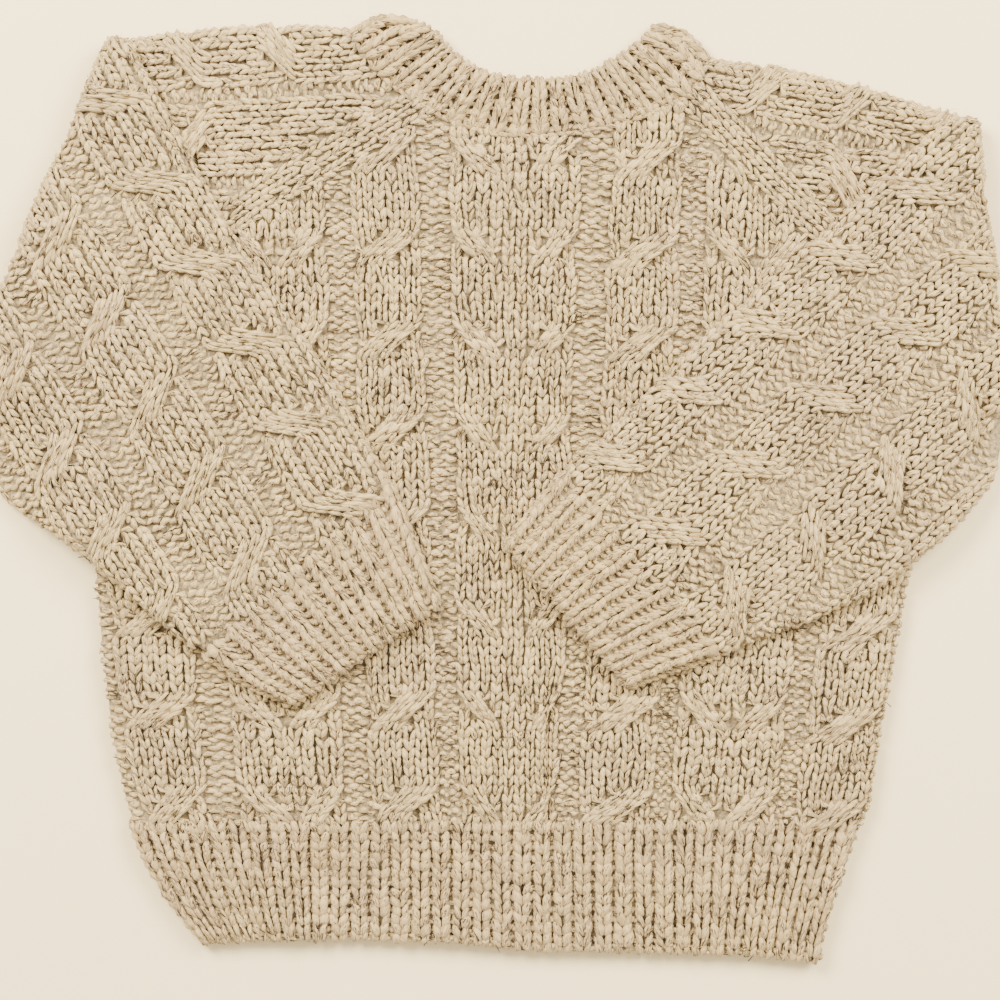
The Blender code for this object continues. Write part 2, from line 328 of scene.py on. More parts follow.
@dataclass(frozen=True)
class Cable:
    """A rope of two strands that change places every few rows.

    Args:
        first: its first wale.
        width: its wales, an even number.
        lean: the way the front strand leans.
        start: row of its first crossing.
        repeat: rows from one crossing to the next.
    """

    first: int
    width: int
    lean: Lean
    start: float
    repeat: float = CROSSING_REPEAT


class Chart:
    """Where each wale of a cloth runs: its place across and its height, at every quarter row."""

    FINE = 4

    def __init__(self, wales: int, rows: int) -> None:
        """A plain knit chart of so many wales and rows.

        Args:
            wales, rows: the size of the cloth.
        """
        self.wales, self.rows = wales, rows
        self.levels = np.arange(-4 * self.FINE, (rows + 4) * self.FINE + 1) / self.FINE
        self.place = np.repeat(np.arange(wales)[:, None] + 0.5, len(self.levels), axis=1)
        self.height = np.zeros_like(self.place)
        self.drawn = {}
        self.kind = np.full(wales, Stitch.KNIT.value)

    def purl(self, first: int, width: int) -> None:
        """Sink some wales between the cables and purl them, spread to where the cables draw in.

        Args:
            first: the first of them.
            width: how many.
        """
        self.kind[first:first + width] = Stitch.PURL.value
        self.height[first:first + width] -= PURL_DEPTH
        share = ((np.arange(width) + 0.5) / width)[:, None]
        before, after = self.drawn.get(first, 0.0), self.drawn.get(first + width, 0.0)
        self.place[first:first + width] += before * (1 - share) + after * share

    def rib(self) -> None:
        """One knit wale standing up, one purl wale sunk and squeezed between its neighbours."""
        index = np.arange(self.wales)
        self.kind = np.where(index % 2 == 0, Stitch.RIB.value, Stitch.RIB_BACK.value)
        self.height += np.where(index % 2 == 0, RIB_RISE, -RIB_SINK)[:, None]

    def cable(self, rope: Cable) -> None:
        """Lay a cable: at each crossing a smooth step swaps its halves, one over the other.

        The front strand moves over by that step, as high as its share of the bump 4s(1 - s). Each
        wale of the back strand stays in place until it is covered, and comes up on the other side.
        The whole rope is crowned across, and it is drawn in towards its middle where it crosses.

        Args:
            rope: the cable.
        """
        half = rope.width // 2
        place = np.arange(rope.width)
        track = np.repeat(place[:, None].astype(float), len(self.levels), axis=1)
        height, pinch = np.zeros_like(track), np.zeros(len(self.levels))
        for crossing in np.arange(rope.start - rope.repeat, self.rows + rope.repeat, rope.repeat):
            share = smooth_step(self.levels, crossing - CROSSING_ROWS / 2, crossing + CROSSING_ROWS / 2)
            bump = 4 * share * (1 - share)
            swap = np.where(place < half, half, -half)
            front = swap * rope.lean.value > 0
            across = (place % half - (half - 1) / 2) / (half / 2)
            over = STRAND_OVER * (1 - 0.35 * across ** 2)
            height += np.where(front, over, -STRAND_UNDER)[:, None] * bump
            covered = (place % half + 0.5) / half
            covered = covered if rope.lean is Lean.RIGHT else 1 - covered
            under = smooth_step(share[None] - covered[:, None], -0.08, 0.08)
            track += swap[:, None] * np.where(front[:, None], share[None], under)
            pinch = np.maximum(pinch, bump)
            place = place + swap
        middle = (rope.width - 1) / 2
        height += CABLE_CROWN * (1 - ((track - middle) / (rope.width / 2)) ** 2) * (1 - 0.5 * pinch)
        scale = 1.02 - CABLE_PINCH * pinch
        track = middle + (track - middle) * scale
        self.drawn[rope.first] = (1 - scale) * rope.width / 2
        self.drawn[rope.first + rope.width] = (scale - 1) * rope.width / 2
        wales = slice(rope.first, rope.first + rope.width)
        self.place[wales] = rope.first + 0.5 + track
        self.height[wales] = height

    def read(self, table: np.ndarray, wale: np.ndarray, row: np.ndarray) -> np.ndarray:
        """A table's value on each wale at any row, straight between its quarter rows.

        Args:
            table: the chart's place or height.
            wale: wale numbers.
            row: rows, whole or not.

        Returns:
            A value for each.
        """
        spot = np.clip((row - self.levels[0]) * self.FINE, 0, len(self.levels) - 1.001)
        low = spot.astype(int)
        part = spot - low
        return table[wale, low] * (1 - part) + table[wale, low + 1] * part


def body_chart() -> Chart:
    """The chart of front and back: mirrored cable pairs and single cables on purl channels.

    Returns:
        The chart.
    """
    chart = Chart(BODY_WALES, BODY_ROWS)
    chart.cable(Cable(1, 6, Lean.RIGHT, 2.5))
    chart.cable(Cable(9, 4, Lean.LEFT, 2.5))
    chart.cable(Cable(13, 4, Lean.RIGHT, 2.5))
    chart.cable(Cable(19, 6, Lean.RIGHT, 2.8))
    chart.cable(Cable(27, 4, Lean.LEFT, 2.6))
    chart.cable(Cable(33, 4, Lean.RIGHT, 2.6))
    chart.cable(Cable(39, 6, Lean.RIGHT, 2.5))
    chart.cable(Cable(47, 4, Lean.LEFT, 3.3))
    chart.cable(Cable(51, 4, Lean.RIGHT, 3.3))
    chart.cable(Cable(57, 6, Lean.RIGHT, 2.5))
    for first, width in ((0, 1), (7, 2), (17, 2), (25, 2), (37, 2), (45, 2), (55, 2), (63, 1)):
        chart.purl(first, width)
    return chart


SLEEVE_CABLE = 6  # wales of a sleeve's cable
EDGE_WALES = 2  # wales of a sleeve's chart that lie round its edge


def sleeve_chart(first: int, rows: int, starts: tuple, leans: tuple, channel: int,
                 rest: float = CROSSING_REPEAT) -> Chart:
    """A sleeve's chart: cables of six wales between purl channels.

    Args:
        first: plain wales before the first cable.
        rows: rows of the chart.
        starts: row of each cable's first crossing.
        leans: the lean of each cable in turn.
        channel: wales of a purl channel.
        rest: rows between the crossings of every cable but the first.

    Returns:
        The chart, plain at its last wales.
    """
    repeat = SLEEVE_CABLE + channel
    chart = Chart(first + repeat * len(leans) + 12, rows)
    for index, (lean, start) in enumerate(zip(leans, starts)):
        place = first + repeat * index
        chart.cable(Cable(place, SLEEVE_CABLE, lean, start, rest if index else CROSSING_REPEAT))
    for index in range(len(leans)):
        chart.purl(first + repeat * index + SLEEVE_CABLE, channel)
    return chart


# ---- Surfaces ----

class Surface:
    """Cloth tabulated on a fine grid of wales and rows, read at any chart place and height."""

    STEP = 0.5

    def __init__(self, formula: Callable, wales: tuple, rows: tuple, below: bool = False) -> None:
        """Tabulate a formula.

        Args:
            formula: gives points of shape (..., 3) in millimetres for arrays of wales and rows.
            wales: first and last wale of the table.
            rows: first and last row of the table.
            below: whether the face looks down, so that its normals are turned round.
        """
        self.first = (wales[0], rows[0])
        wale, row = np.meshgrid(
            np.arange(wales[0], wales[1] + self.STEP, self.STEP),
            np.arange(rows[0], rows[1] + self.STEP, self.STEP),
            indexing="ij",
        )
        self.points = formula(wale, row)
        across = np.gradient(self.points, axis=0)
        along = np.gradient(self.points, axis=1)
        self.normals = unit(np.cross(across, along))
        facing = self.normals[..., 2].mean()
        if (facing > 0) == below:
            self.normals = -self.normals

    def read(self, table: np.ndarray, wale: np.ndarray, row: np.ndarray) -> np.ndarray:
        """Bilinear reading of a table of the surface.

        Args:
            table: its points or normals.
            wale, row: places in the chart.

        Returns:
            Values of shape (..., 3).
        """
        spots = []
        for value, first, count in zip((wale, row), self.first, table.shape[:2]):
            spots.append(np.clip((value - first) / self.STEP, 0, count - 1.001))
        low = [spot.astype(int) for spot in spots]
        part = [(spot - base)[..., None] for spot, base in zip(spots, low)]
        near = table[low[0], low[1]] * (1 - part[0]) + table[low[0] + 1, low[1]] * part[0]
        far = table[low[0], low[1] + 1] * (1 - part[0]) + table[low[0] + 1, low[1] + 1] * part[0]
        return near * (1 - part[1]) + far * part[1]

    def place(self, wale: np.ndarray, row: np.ndarray, lift: np.ndarray) -> np.ndarray:
        """Points at a height over the cloth: surface point plus height times its normal."""
        return self.read(self.points, wale, row) + self.read(self.normals, wale, row) * lift[..., None]


def roll_over(past: np.ndarray, radius: float) -> tuple:
    """Cloth that runs past an edge rolls round it: sine out and one minus cosine down.

    Args:
        past: how far each point lies past the start of the edge, along the cloth.
        radius: radius of the rounding.

    Returns:
        How far each point gets outward, and how far it drops.
    """
    angle = np.clip(past / radius, 0.0, math.pi)
    return radius * np.sin(angle), radius * (1 - np.cos(angle))


# ---- Meshes ----

def grid_quads(columns: int, rows: int, first: int = 0, ring: bool = False) -> np.ndarray:
    """Quads of a grid of points numbered column by column; ring closes the rows on themselves.

    Args:
        columns, rows: size of the grid.
        first: number of its first point.
        ring: whether the rows close.

    Returns:
        (n, 4) vertex numbers.
    """
    span = rows if ring else rows - 1
    column, row = np.meshgrid(np.arange(columns - 1), np.arange(span), indexing="ij")
    after = (row + 1) % rows
    here, there = column * rows, (column + 1) * rows
    quads = np.stack([here + row, there + row, there + after, here + after], axis=-1)
    return quads.reshape(-1, 4) + first


def make_object(name: str, points: np.ndarray, faces: np.ndarray) -> bpy.types.Object:
    """A mesh object at the origin from layout points in millimetres and faces of one size.

    Args:
        name: the piece's name.
        points: (n, 3) points in the layout.
        faces: (m, 3) or (m, 4) vertex numbers, anticlockwise seen from outside.

    Returns:
        The linked object, shaded smooth.
    """
    placed = (points - np.array([*LAYOUT_MIDDLE, 0.0])) * MM
    mesh = bpy.data.meshes.new(name)
    mesh.vertices.add(len(placed))
    mesh.vertices.foreach_set("co", placed.astype(np.float32).ravel())
    corners = faces.shape[1]
    mesh.loops.add(faces.size)
    mesh.loops.foreach_set("vertex_index", faces.astype(np.int32).ravel())
    mesh.polygons.add(len(faces))
    mesh.polygons.foreach_set("loop_start", np.arange(0, faces.size, corners, dtype=np.int32))
    mesh.polygons.foreach_set("loop_total", np.full(len(faces), corners, dtype=np.int32))
    mesh.update(calc_edges=True)
    mesh.validate()
    mesh.shade_smooth()
    piece = bpy.data.objects.new(name, mesh)
    bpy.context.scene.collection.objects.link(piece)
    return piece


def slab_shell(name: str, plan: np.ndarray, low: np.ndarray, high: np.ndarray) -> bpy.types.Object:
    """A closed slab: a low and a high face on one plan grid, and a wall round its border.

    Args:
        name: the piece's name.
        plan: (m, n, 2) plan points.
        low, high: (m, n) heights of both faces.

    Returns:
        The piece.
    """
    columns, rows = plan.shape[:2]
    points = np.concatenate([np.dstack([plan, face]).reshape(-1, 3) for face in (high, low)])
    under = columns * rows
    top = grid_quads(columns, rows)
    bottom = grid_quads(columns, rows)[:, ::-1] + under
    border = np.concatenate([
        np.arange(columns) * rows,
        (columns - 1) * rows + np.arange(1, rows),
        np.arange(columns - 2, -1, -1) * rows + rows - 1,
        np.arange(rows - 2, 0, -1),
    ])
    after = np.roll(border, -1)
    wall = np.stack([border, under + border, under + after, after], axis=-1)
    return make_object(name, points, np.concatenate([top, bottom, wall]))


def ring_points(lines: np.ndarray, backs: np.ndarray, half: np.ndarray, steps: int = 8) -> np.ndarray:
    """Rings round a flattened tube: the back layer, a round fold, the front layer, a round fold.

    Args:
        lines: (m, n, 3) middle lines from one folded edge to the other.
        backs: (m, 3) unit directions from the front layer to the back one.
        half: (m,) half thicknesses.
        steps: steps round each fold.

    Returns:
        (m, k, 3) ring points.
    """
    turn = np.linspace(0.0, math.pi, steps + 1)[1:-1][None, :, None]
    back, half = backs[:, None], half[:, None, None]
    far = unit(lines[:, -1] - lines[:, -2])[:, None]
    near = unit(lines[:, 0] - lines[:, 1])[:, None]
    far_fold = lines[:, -1:] + half * (np.cos(turn) * back + np.sin(turn) * far)
    near_fold = lines[:, :1] + half * (np.sin(turn) * near - np.cos(turn) * back)
    front_layer = (lines - half * back)[:, ::-1]
    return np.concatenate([lines + half * back, far_fold, front_layer, near_fold], axis=1)


def make_outward(piece: bpy.types.Object) -> None:
    """Turn a closed shell's faces outward where its signed volume is negative.

    Args:
        piece: the shell.
    """
    mesh = piece.data
    points = np.empty(len(mesh.vertices) * 3)
    mesh.vertices.foreach_get("co", points)
    points = points.reshape(-1, 3)
    mesh.calc_loop_triangles()
    corners = np.empty(len(mesh.loop_triangles) * 3, dtype=np.int32)
    mesh.loop_triangles.foreach_get("vertices", corners)
    a, b, c = points[corners.reshape(-1, 3)].transpose(1, 0, 2)
    if (np.cross(a, b) * c).sum() < 0:
        mesh.flip_normals()


def tube_shell(name: str, lines: list, backs: list, thin: np.ndarray) -> bpy.types.Object:
    """A flattened tube of two layers with a slit between them, its ends joined by flat rings.

    Args:
        name: the piece's name.
        lines: middle lines of its rows, each from one folded edge to the other.
        backs: unit direction from the front layer to the back one at each row.
        thin: how much thinner each layer is at each row.

    Returns:
        The piece, its faces turned outward.
    """
    lines, backs = np.array(lines), np.array(backs)
    outer = ring_points(lines, backs, TUBE_HALF - SHELL_INSET - thin)
    inner = ring_points(lines, backs, LAYER_GAP / 2 + thin / 2)
    count, around = outer.shape[:2]
    points = np.concatenate([outer.reshape(-1, 3), inner.reshape(-1, 3)])
    inside_first = count * around
    outside = grid_quads(count, around, ring=True)[:, ::-1]
    within = grid_quads(count, around, inside_first, ring=True)
    step = np.arange(around)
    after = (step + 1) % around
    last = (count - 1) * around
    start = np.stack([step, inside_first + step, inside_first + after, after], axis=-1)
    far = inside_first + last
    end = np.stack([last + step, last + after, far + after, far + step], axis=-1)
    piece = make_object(name, points, np.concatenate([outside, within, start, end]))
    make_outward(piece)
    return piece


def store_yarn(piece: bpy.types.Object, spots: np.ndarray, tone: np.ndarray) -> None:
    """Store each point's place on its yarn and its shade, as the attributes yarn and tone.

    Args:
        piece: the mesh.
        spots: (n, 3) places on the yarn.
        tone: (n,) shades.
    """
    yarn = piece.data.attributes.new("yarn", "FLOAT_VECTOR", "POINT")
    yarn.data.foreach_set("vector", spots.astype(np.float32).ravel())
    shade = piece.data.attributes.new("tone", "FLOAT", "POINT")
    shade.data.foreach_set("value", tone.astype(np.float32))


def lay_cells(piece: bpy.types.Object, count: int, shares: np.ndarray) -> None:
    """Lay the map OFBake: a square of cells with a margin, one for each of so many like parts.

    Args:
        piece: a mesh of that many parts with the same faces.
        count: how many parts there are.
        shares: (faces, corners, 2) places of a part's corners in its cell, each from 0 to 1.
    """
    cells = math.ceil(math.sqrt(count))
    cell = np.stack([np.arange(count) % cells, np.arange(count) // cells], axis=-1)
    spot = (cell[:, None, None, :] + 0.04 + 0.92 * shares[None]) / cells
    layer = piece.data.uv_layers.new(name="OFBake")
    layer.data.foreach_set("uv", spot.astype(np.float32).ravel())


# ---- Stitches ----

@dataclass(frozen=True)
class LegForm:
    """One leg of a stitch, in millimetres from the stitch's middle.

    Args:
        start, end: where its middle line starts and ends, x across and y up the wale.
        bow: how far its middle swings out square to its line.
        radius: half its width.
        depth: half its thickness.
        arch: how high its middle stands over its ends.
        base: height of its ends.
    """

    start: tuple
    end: tuple
    bow: float
    radius: float
    depth: float
    arch: float
    base: float


def mirrored(leg: LegForm) -> LegForm:
    """The same leg on the other side of the wale."""
    return LegForm((-leg.start[0], leg.start[1]), (-leg.end[0], leg.end[1]), -leg.bow,
                   leg.radius, leg.depth, leg.arch, leg.base)


KNIT_LEG = LegForm((-3.35, 4.7), (-0.55, -3.9), 0.2, 1.8, 1.6, 1.7, -1.2)
PURL_HEAD = LegForm((-5.4, -1.3), (1.8, -1.3), 1.3, 1.85, 1.7, 1.6, -0.8)
PURL_FOOT = LegForm((-1.8, 4.1), (5.4, 4.1), -1.3, 1.85, 1.5, 1.2, -0.9)
RIB_LEG = LegForm((-4.5, 5.6), (-1.0, -4.6), 0.3, 2.48, 2.1, 1.8, -1.2)
RIB_BACK_LEG = LegForm((-3.3, -1.7), (0.8, 1.7), 0.3, 1.75, 1.4, 0.8, -0.6)

STITCH_FORMS = {
    Stitch.KNIT: (KNIT_LEG, mirrored(KNIT_LEG)),
    Stitch.PURL: (PURL_HEAD, PURL_FOOT),
    Stitch.RIB: (RIB_LEG, mirrored(RIB_LEG)),
    Stitch.RIB_BACK: (RIB_BACK_LEG, mirrored(RIB_BACK_LEG)),
}


LOOSENESS = 0.52  # how far a leg's ends stray from their places


class LegTemplate:
    """The grain of rings that every leg shares: where its points lie along and round the leg."""

    def __init__(self, rings: tuple, sides: int) -> None:
        """Lay out rings of (share along, fullness) and a tip at each end.

        Args:
            rings: the rings in turn.
            sides: points round each ring.
        """
        turn = np.arange(sides) / sides
        self.along = np.concatenate([[0.0], np.repeat([share for share, _ in rings], sides), [1.0]])
        self.full = np.concatenate([[0.0], np.repeat([full for _, full in rings], sides), [0.0]])
        self.turn = np.concatenate([[0.0], np.tile(turn, len(rings)), [0.0]])
        faces, shares = [], []
        for side in range(sides):
            after = (side + 1) % sides
            low, high = side / sides, (side + 1) / sides
            faces.append((0, 1 + after, 1 + side))
            shares.append(((low + high) / 2, 0.0, high, rings[0][0], low, rings[0][0]))
            for ring in range(len(rings) - 1):
                here, there = 1 + ring * sides, 1 + (ring + 1) * sides
                a0, a1 = rings[ring][0], rings[ring + 1][0]
                faces.append((here + side, here + after, there + after))
                shares.append((low, a0, high, a0, high, a1))
                faces.append((here + side, there + after, there + side))
                shares.append((low, a0, high, a1, low, a1))
            last = 1 + (len(rings) - 1) * sides
            faces.append((last + side, last + after, last + sides))
            shares.append((low, rings[-1][0], high, rings[-1][0], (low + high) / 2, 1.0))
        self.faces = np.array(faces)
        self.shares = np.array(shares).reshape(-1, 3, 2)
        self.count = len(self.along)


FINE_LEG = LegTemplate(((0.16, 0.66), (0.5, 1.0), (0.84, 0.66)), 6)
PLAIN_LEG = LegTemplate(((0.5, 1.0),), 4)


@dataclass
class Knitting:
    """Stitches on a surface, joined into one mesh.

    Args:
        name: the piece's name.
        surface: the cloth that they are knitted on.
        chart: where its wales run.
        pitch: (stitch, row) in millimetres.
        template: the grain that each leg is drawn with.
        seed: seed of the stitches' small differences.
        lift: height of the whole fabric over the cloth's face.
        floor: the lowest height that any point may have.
        size: scale of the legs.
    """

    name: str
    surface: Surface
    chart: Chart
    pitch: tuple
    template: LegTemplate
    seed: int
    lift: float = 0.0
    floor: float = 0.25
    size: float = 1.0

    def middles(self, wale: np.ndarray, row: np.ndarray) -> np.ndarray:
        """Plan points of the stitches' middles."""
        place = self.chart.read(self.chart.place, wale, row)
        return self.surface.place(place, row, np.zeros(len(wale)))

    def build(self, wale: np.ndarray, row: np.ndarray) -> bpy.types.Object:
        """Draw two legs for each stitch.

        A point of a leg is its place on the leg's middle line plus its ring's radius across the line
        and its depth along the cloth's normal. The row that it reaches then gives the wale's place and
        height there, so that a leg leans and climbs with its cable.

        Args:
            wale: wale number of each stitch.
            row: row of each stitch.

        Returns:
            The piece.
        """
        rng = np.random.default_rng(self.seed)
        count = len(wale)
        kinds = self.chart.kind[wale]
        forms = np.zeros((len(Stitch), 2, 9))
        for kind, legs in STITCH_FORMS.items():
            for side, leg in enumerate(legs):
                forms[kind.value, side] = (
                    *leg.start, *leg.end, leg.bow, leg.radius, leg.depth, leg.arch, leg.base,
                )
        form = forms[kinds].reshape(count * 2, 9) * self.size
        wales, rows = np.repeat(wale, 2), np.repeat(row, 2).astype(float)
        jitter = rng.normal(0.0, 1.0, (count * 2, 6))
        jitter *= np.repeat(np.where(kinds == Stitch.PURL.value, 1.5, 1.0), 2)[:, None]
        loose = 1 + 0.10 * np.repeat(rng.normal(0.0, 1.0, count), 2) + 0.11 * jitter[:, 0]
        loose = np.clip(loose, 0.7, 1.35)
        start = form[:, 0:2] + jitter[:, 1:3] * LOOSENESS
        end = form[:, 2:4] + jitter[:, 3:5] * LOOSENESS
        grain = self.template
        along, full = grain.along[None, :], grain.full[None, :]
        angle = grain.turn[None, :] * math.tau + rng.uniform(0, math.tau, (count * 2, 1))
        run = end - start
        length = np.linalg.norm(run, axis=1, keepdims=True)
        across = np.stack([-run[:, 1], run[:, 0]], axis=1) / length
        swing = form[:, 4, None] * np.sin(math.pi * along)
        ahead, behind = (self.chart.read(self.chart.place, wales, rows + step) for step in (0.3, -0.3))
        slant = (ahead - behind) / 0.6 * self.pitch[0] / abs(self.pitch[1])
        full_width = np.minimum(np.sqrt(1 + slant ** 2), 1.45)
        side = full * (form[:, 5] * loose * full_width)[:, None] * np.cos(angle)
        side = side + swing
        dx = start[:, 0, None] + run[:, 0, None] * along + across[:, 0, None] * side
        dy = start[:, 1, None] + run[:, 1, None] * along + across[:, 1, None] * side
        tucked = (np.arange(count * 2) % 2 == 0) == (slant > 0)
        sink = np.where(tucked, STRAND_TUCK * np.minimum(np.abs(slant), 1.5), 0.0)
        dz = (form[:, 8] - sink)[:, None] + form[:, 7, None] * np.sin(math.pi * along)
        dz = dz + full * (form[:, 6] * loose)[:, None] * np.sin(angle) + jitter[:, 5, None] * 0.25
        reach = rows[:, None] + dy / self.pitch[1]
        which = np.broadcast_to(wales[:, None], reach.shape)
        place = self.chart.read(self.chart.place, which, reach) + dx / self.pitch[0]
        height = self.chart.read(self.chart.height, which, reach) + dz + self.lift
        points = self.surface.place(place, reach, height).reshape(-1, 3)
        points[:, 2] = np.maximum(points[:, 2], self.floor)
        first = np.arange(count * 2)[:, None, None] * grain.count
        faces = (grain.faces[None] + first).reshape(-1, 3)
        piece = make_object(self.name, points, faces)
        piece["leg_points"] = grain.count
        self.mark(piece, wales, rows, along, grain, length[:, 0], rng)
        return piece

    def mark(self, piece: bpy.types.Object, wales: np.ndarray, rows: np.ndarray, along: np.ndarray,
             grain: LegTemplate, length: np.ndarray, rng: np.random.Generator) -> None:
        """Store where each point lies on its yarn, and a map that gives each leg a cell of its own.

        The attribute yarn holds millimetres along the row's yarn and across it, each row far from
        the next one.

        Args:
            piece: the stitches.
            wales, rows: those of each leg.
            along: shares along a leg of its points.
            grain: the grain of a leg.
            length: length of each leg.
            rng: draws the shades.
        """
        count = len(wales)
        run = (wales * 11.0 + (np.arange(count) % 2) * 5.5 + rows * 317.0 + self.seed * 41.0)[:, None]
        run = run + along * length[:, None]
        turn = np.broadcast_to(grain.turn[None] * math.tau, run.shape)
        wide = np.broadcast_to(1.8 * grain.full[None], run.shape)
        spots = np.stack([run, wide * np.cos(turn), wide * np.sin(turn)], axis=-1)
        tone = np.repeat(rng.normal(0.0, 1.0, (count + 1) // 2), 2)[:count] * 0.6
        tone = tone + rng.normal(0.0, 0.5, count)
        store_yarn(piece, spots, np.repeat(tone, grain.count))
        lay_cells(piece, count, grain.shares)


def rib_pieces(knit: Knitting, end_row: int, rim_row: int) -> list:
    """The ribs of a piece, and its cast-off edge: a row of loops lying along its rim.

    Args:
        knit: the piece's knitting; its name ends with _ribs.
        end_row: the row before which the ribs end.
        rim_row: the row on which the edge lies.

    Returns:
        The ribs and the edge.
    """
    wales = knit.chart.wales
    knit.chart.rib()
    ribs = knit.build(*every_stitch(wales, 0, end_row))
    chart = Chart(wales, knit.chart.rows)
    chart.kind[:] = Stitch.PURL.value
    edge = Knitting(knit.name.replace("_ribs", "_edge"), knit.surface, chart, knit.pitch, knit.template,
                    knit.seed + 200, lift=knit.lift, size=0.8 * knit.size)
    return [ribs, edge.build(np.arange(wales), np.full(wales, rim_row))]


# ---- Finishes ----

class Shading:
    """A material under construction: each method adds a node and gives its output."""

    def __init__(self, name: str, **inputs: float) -> None:
        """Start with one shader.

        Args:
            name: the material's name.
            inputs: values of the shader's inputs, with _ for each space in their names.
        """
        self.material = bpy.data.materials.new(name)
        self.material.use_nodes = True
        self.nodes, self.links = self.material.node_tree.nodes, self.material.node_tree.links
        self.shader = self.nodes["Principled BSDF"]
        for key, value in inputs.items():
            self.shader.inputs[key.replace("_", " ")].default_value = value

    def attribute(self, name: str, output: str) -> bpy.types.NodeSocket:
        """An attribute stored on the mesh."""
        node = self.nodes.new("ShaderNodeAttribute")
        node.attribute_name = name
        return node.outputs[output]

    def object_place(self) -> bpy.types.NodeSocket:
        """Object coordinates."""
        return self.nodes.new("ShaderNodeTexCoord").outputs["Object"]

    def stretched(self, place: bpy.types.NodeSocket, scale: tuple) -> bpy.types.NodeSocket:
        """Coordinates times a scale for each axis."""
        mapping = self.nodes.new("ShaderNodeMapping")
        mapping.inputs["Scale"].default_value = scale
        self.links.new(place, mapping.inputs["Vector"])
        return mapping.outputs["Vector"]

    def noise(self, place: bpy.types.NodeSocket, scale: float, detail: float) -> bpy.types.NodeSocket:
        """Noise at a place, of a scale and a detail."""
        noise = self.nodes.new("ShaderNodeTexNoise")
        noise.inputs["Scale"].default_value = scale
        noise.inputs["Detail"].default_value = detail
        self.links.new(place, noise.inputs["Vector"])
        return noise.outputs["Fac"]

    def ramp(self, value: bpy.types.NodeSocket, places: tuple, colours: tuple) -> bpy.types.NodeSocket:
        """From the first colour at the first place to the second colour at the second place."""
        node = self.nodes.new("ShaderNodeValToRGB")
        for element, place, colour in zip(node.color_ramp.elements, places, colours):
            element.position = place
            element.color = (*colour, 1.0)
        self.links.new(value, node.inputs["Fac"])
        return node.outputs["Color"]

    def multiply_add(self, value: bpy.types.NodeSocket, factor: float,
                     added: bpy.types.NodeSocket) -> bpy.types.NodeSocket:
        """A value times a factor plus another value."""
        node = self.nodes.new("ShaderNodeMath")
        node.operation = "MULTIPLY_ADD"
        node.inputs[1].default_value = factor
        self.links.new(value, node.inputs[0])
        self.links.new(added, node.inputs[2])
        return node.outputs["Value"]

    def step(self, value: bpy.types.NodeSocket, low: float, high: float) -> bpy.types.NodeSocket:
        """0 below low and 1 above high, straight between them."""
        node = self.nodes.new("ShaderNodeMapRange")
        node.inputs["From Min"].default_value = low
        node.inputs["From Max"].default_value = high
        self.links.new(value, node.inputs["Value"])
        return node.outputs["Result"]

    def mix(self, colour: bpy.types.NodeSocket, blend: str = "MIX") -> bpy.types.Node:
        """A mix of colours whose first one is linked; its Factor and B are still to be set."""
        node = self.nodes.new("ShaderNodeMix")
        node.data_type, node.blend_type = "RGBA", blend
        self.links.new(colour, node.inputs["A"])
        return node

    def bump(self, height: bpy.types.NodeSocket, strength: float, distance: float) -> None:
        """Bump the shader's surface by a height."""
        node = self.nodes.new("ShaderNodeBump")
        node.inputs["Strength"].default_value = strength
        node.inputs["Distance"].default_value = distance
        self.links.new(height, node.inputs["Height"])
        self.links.new(node.outputs["Normal"], self.shader.inputs["Normal"])


@dataclass(frozen=True)
class YarnFinish:
    """Hairy oatmeal wool: streaky fibres, dark flecks along the yarn and a soft sheen.

    Args:
        name: the material's name.
        light, dark: linear colours of the fibres.
        fleck: linear colour of the dark fibres.
        fleck_share: noise level above which a fleck shows.
        sheen: weight of the sheen.
    """

    name: str
    light: tuple = (0.60, 0.472, 0.242)
    dark: tuple = (0.34, 0.255, 0.125)
    fleck: tuple = (0.075, 0.045, 0.028)
    fleck_share: float = 0.605
    sheen: float = 0.25

    def material(self) -> bpy.types.Material:
        """Fibres, slow drifts and flecks, on the attributes yarn and tone and Object coordinates.

        Returns:
            The material.
        """
        wool = Shading(self.name, Roughness=0.92, Specular_IOR_Level=0.2, Sheen_Weight=self.sheen,
                       Sheen_Roughness=0.5, Sheen_Tint=(1.0, 0.93, 0.82, 1.0))
        yarn, tone = wool.attribute("yarn", "Vector"), wool.attribute("tone", "Fac")
        fibre = wool.noise(wool.stretched(yarn, (0.34, 1.5, 1.5)), 1.0, 3.0)
        colour = wool.ramp(wool.multiply_add(tone, 0.09, fibre), (0.3, 0.68), (self.dark, self.light))
        drift = wool.noise(wool.object_place(), 22.0, 2.0)
        tint = wool.mix(colour, "MULTIPLY")
        tint.inputs["Factor"].default_value = 1.0
        shades = wool.ramp(drift, (0.3, 0.7), ((0.92, 0.89, 0.90), (1.03, 1.01, 0.93)))
        wool.links.new(shades, tint.inputs["B"])
        fleck = wool.noise(wool.stretched(yarn, (0.16, 2.1, 2.1)), 1.0, 1.0)
        cluster = wool.noise(wool.stretched(yarn, (0.025, 0.0, 0.0)), 1.0, 0.0)
        gathered = wool.multiply_add(cluster, 0.35, fleck)
        flecked = wool.mix(tint.outputs["Result"])
        flecked.inputs["B"].default_value = (*self.fleck, 1.0)
        edge = wool.step(gathered, self.fleck_share + 0.175, self.fleck_share + 0.205)
        wool.links.new(edge, flecked.inputs["Factor"])
        wool.links.new(flecked.outputs["Result"], wool.shader.inputs["Base Color"])
        wool.bump(fibre, 0.8, 0.0007)
        return wool.material


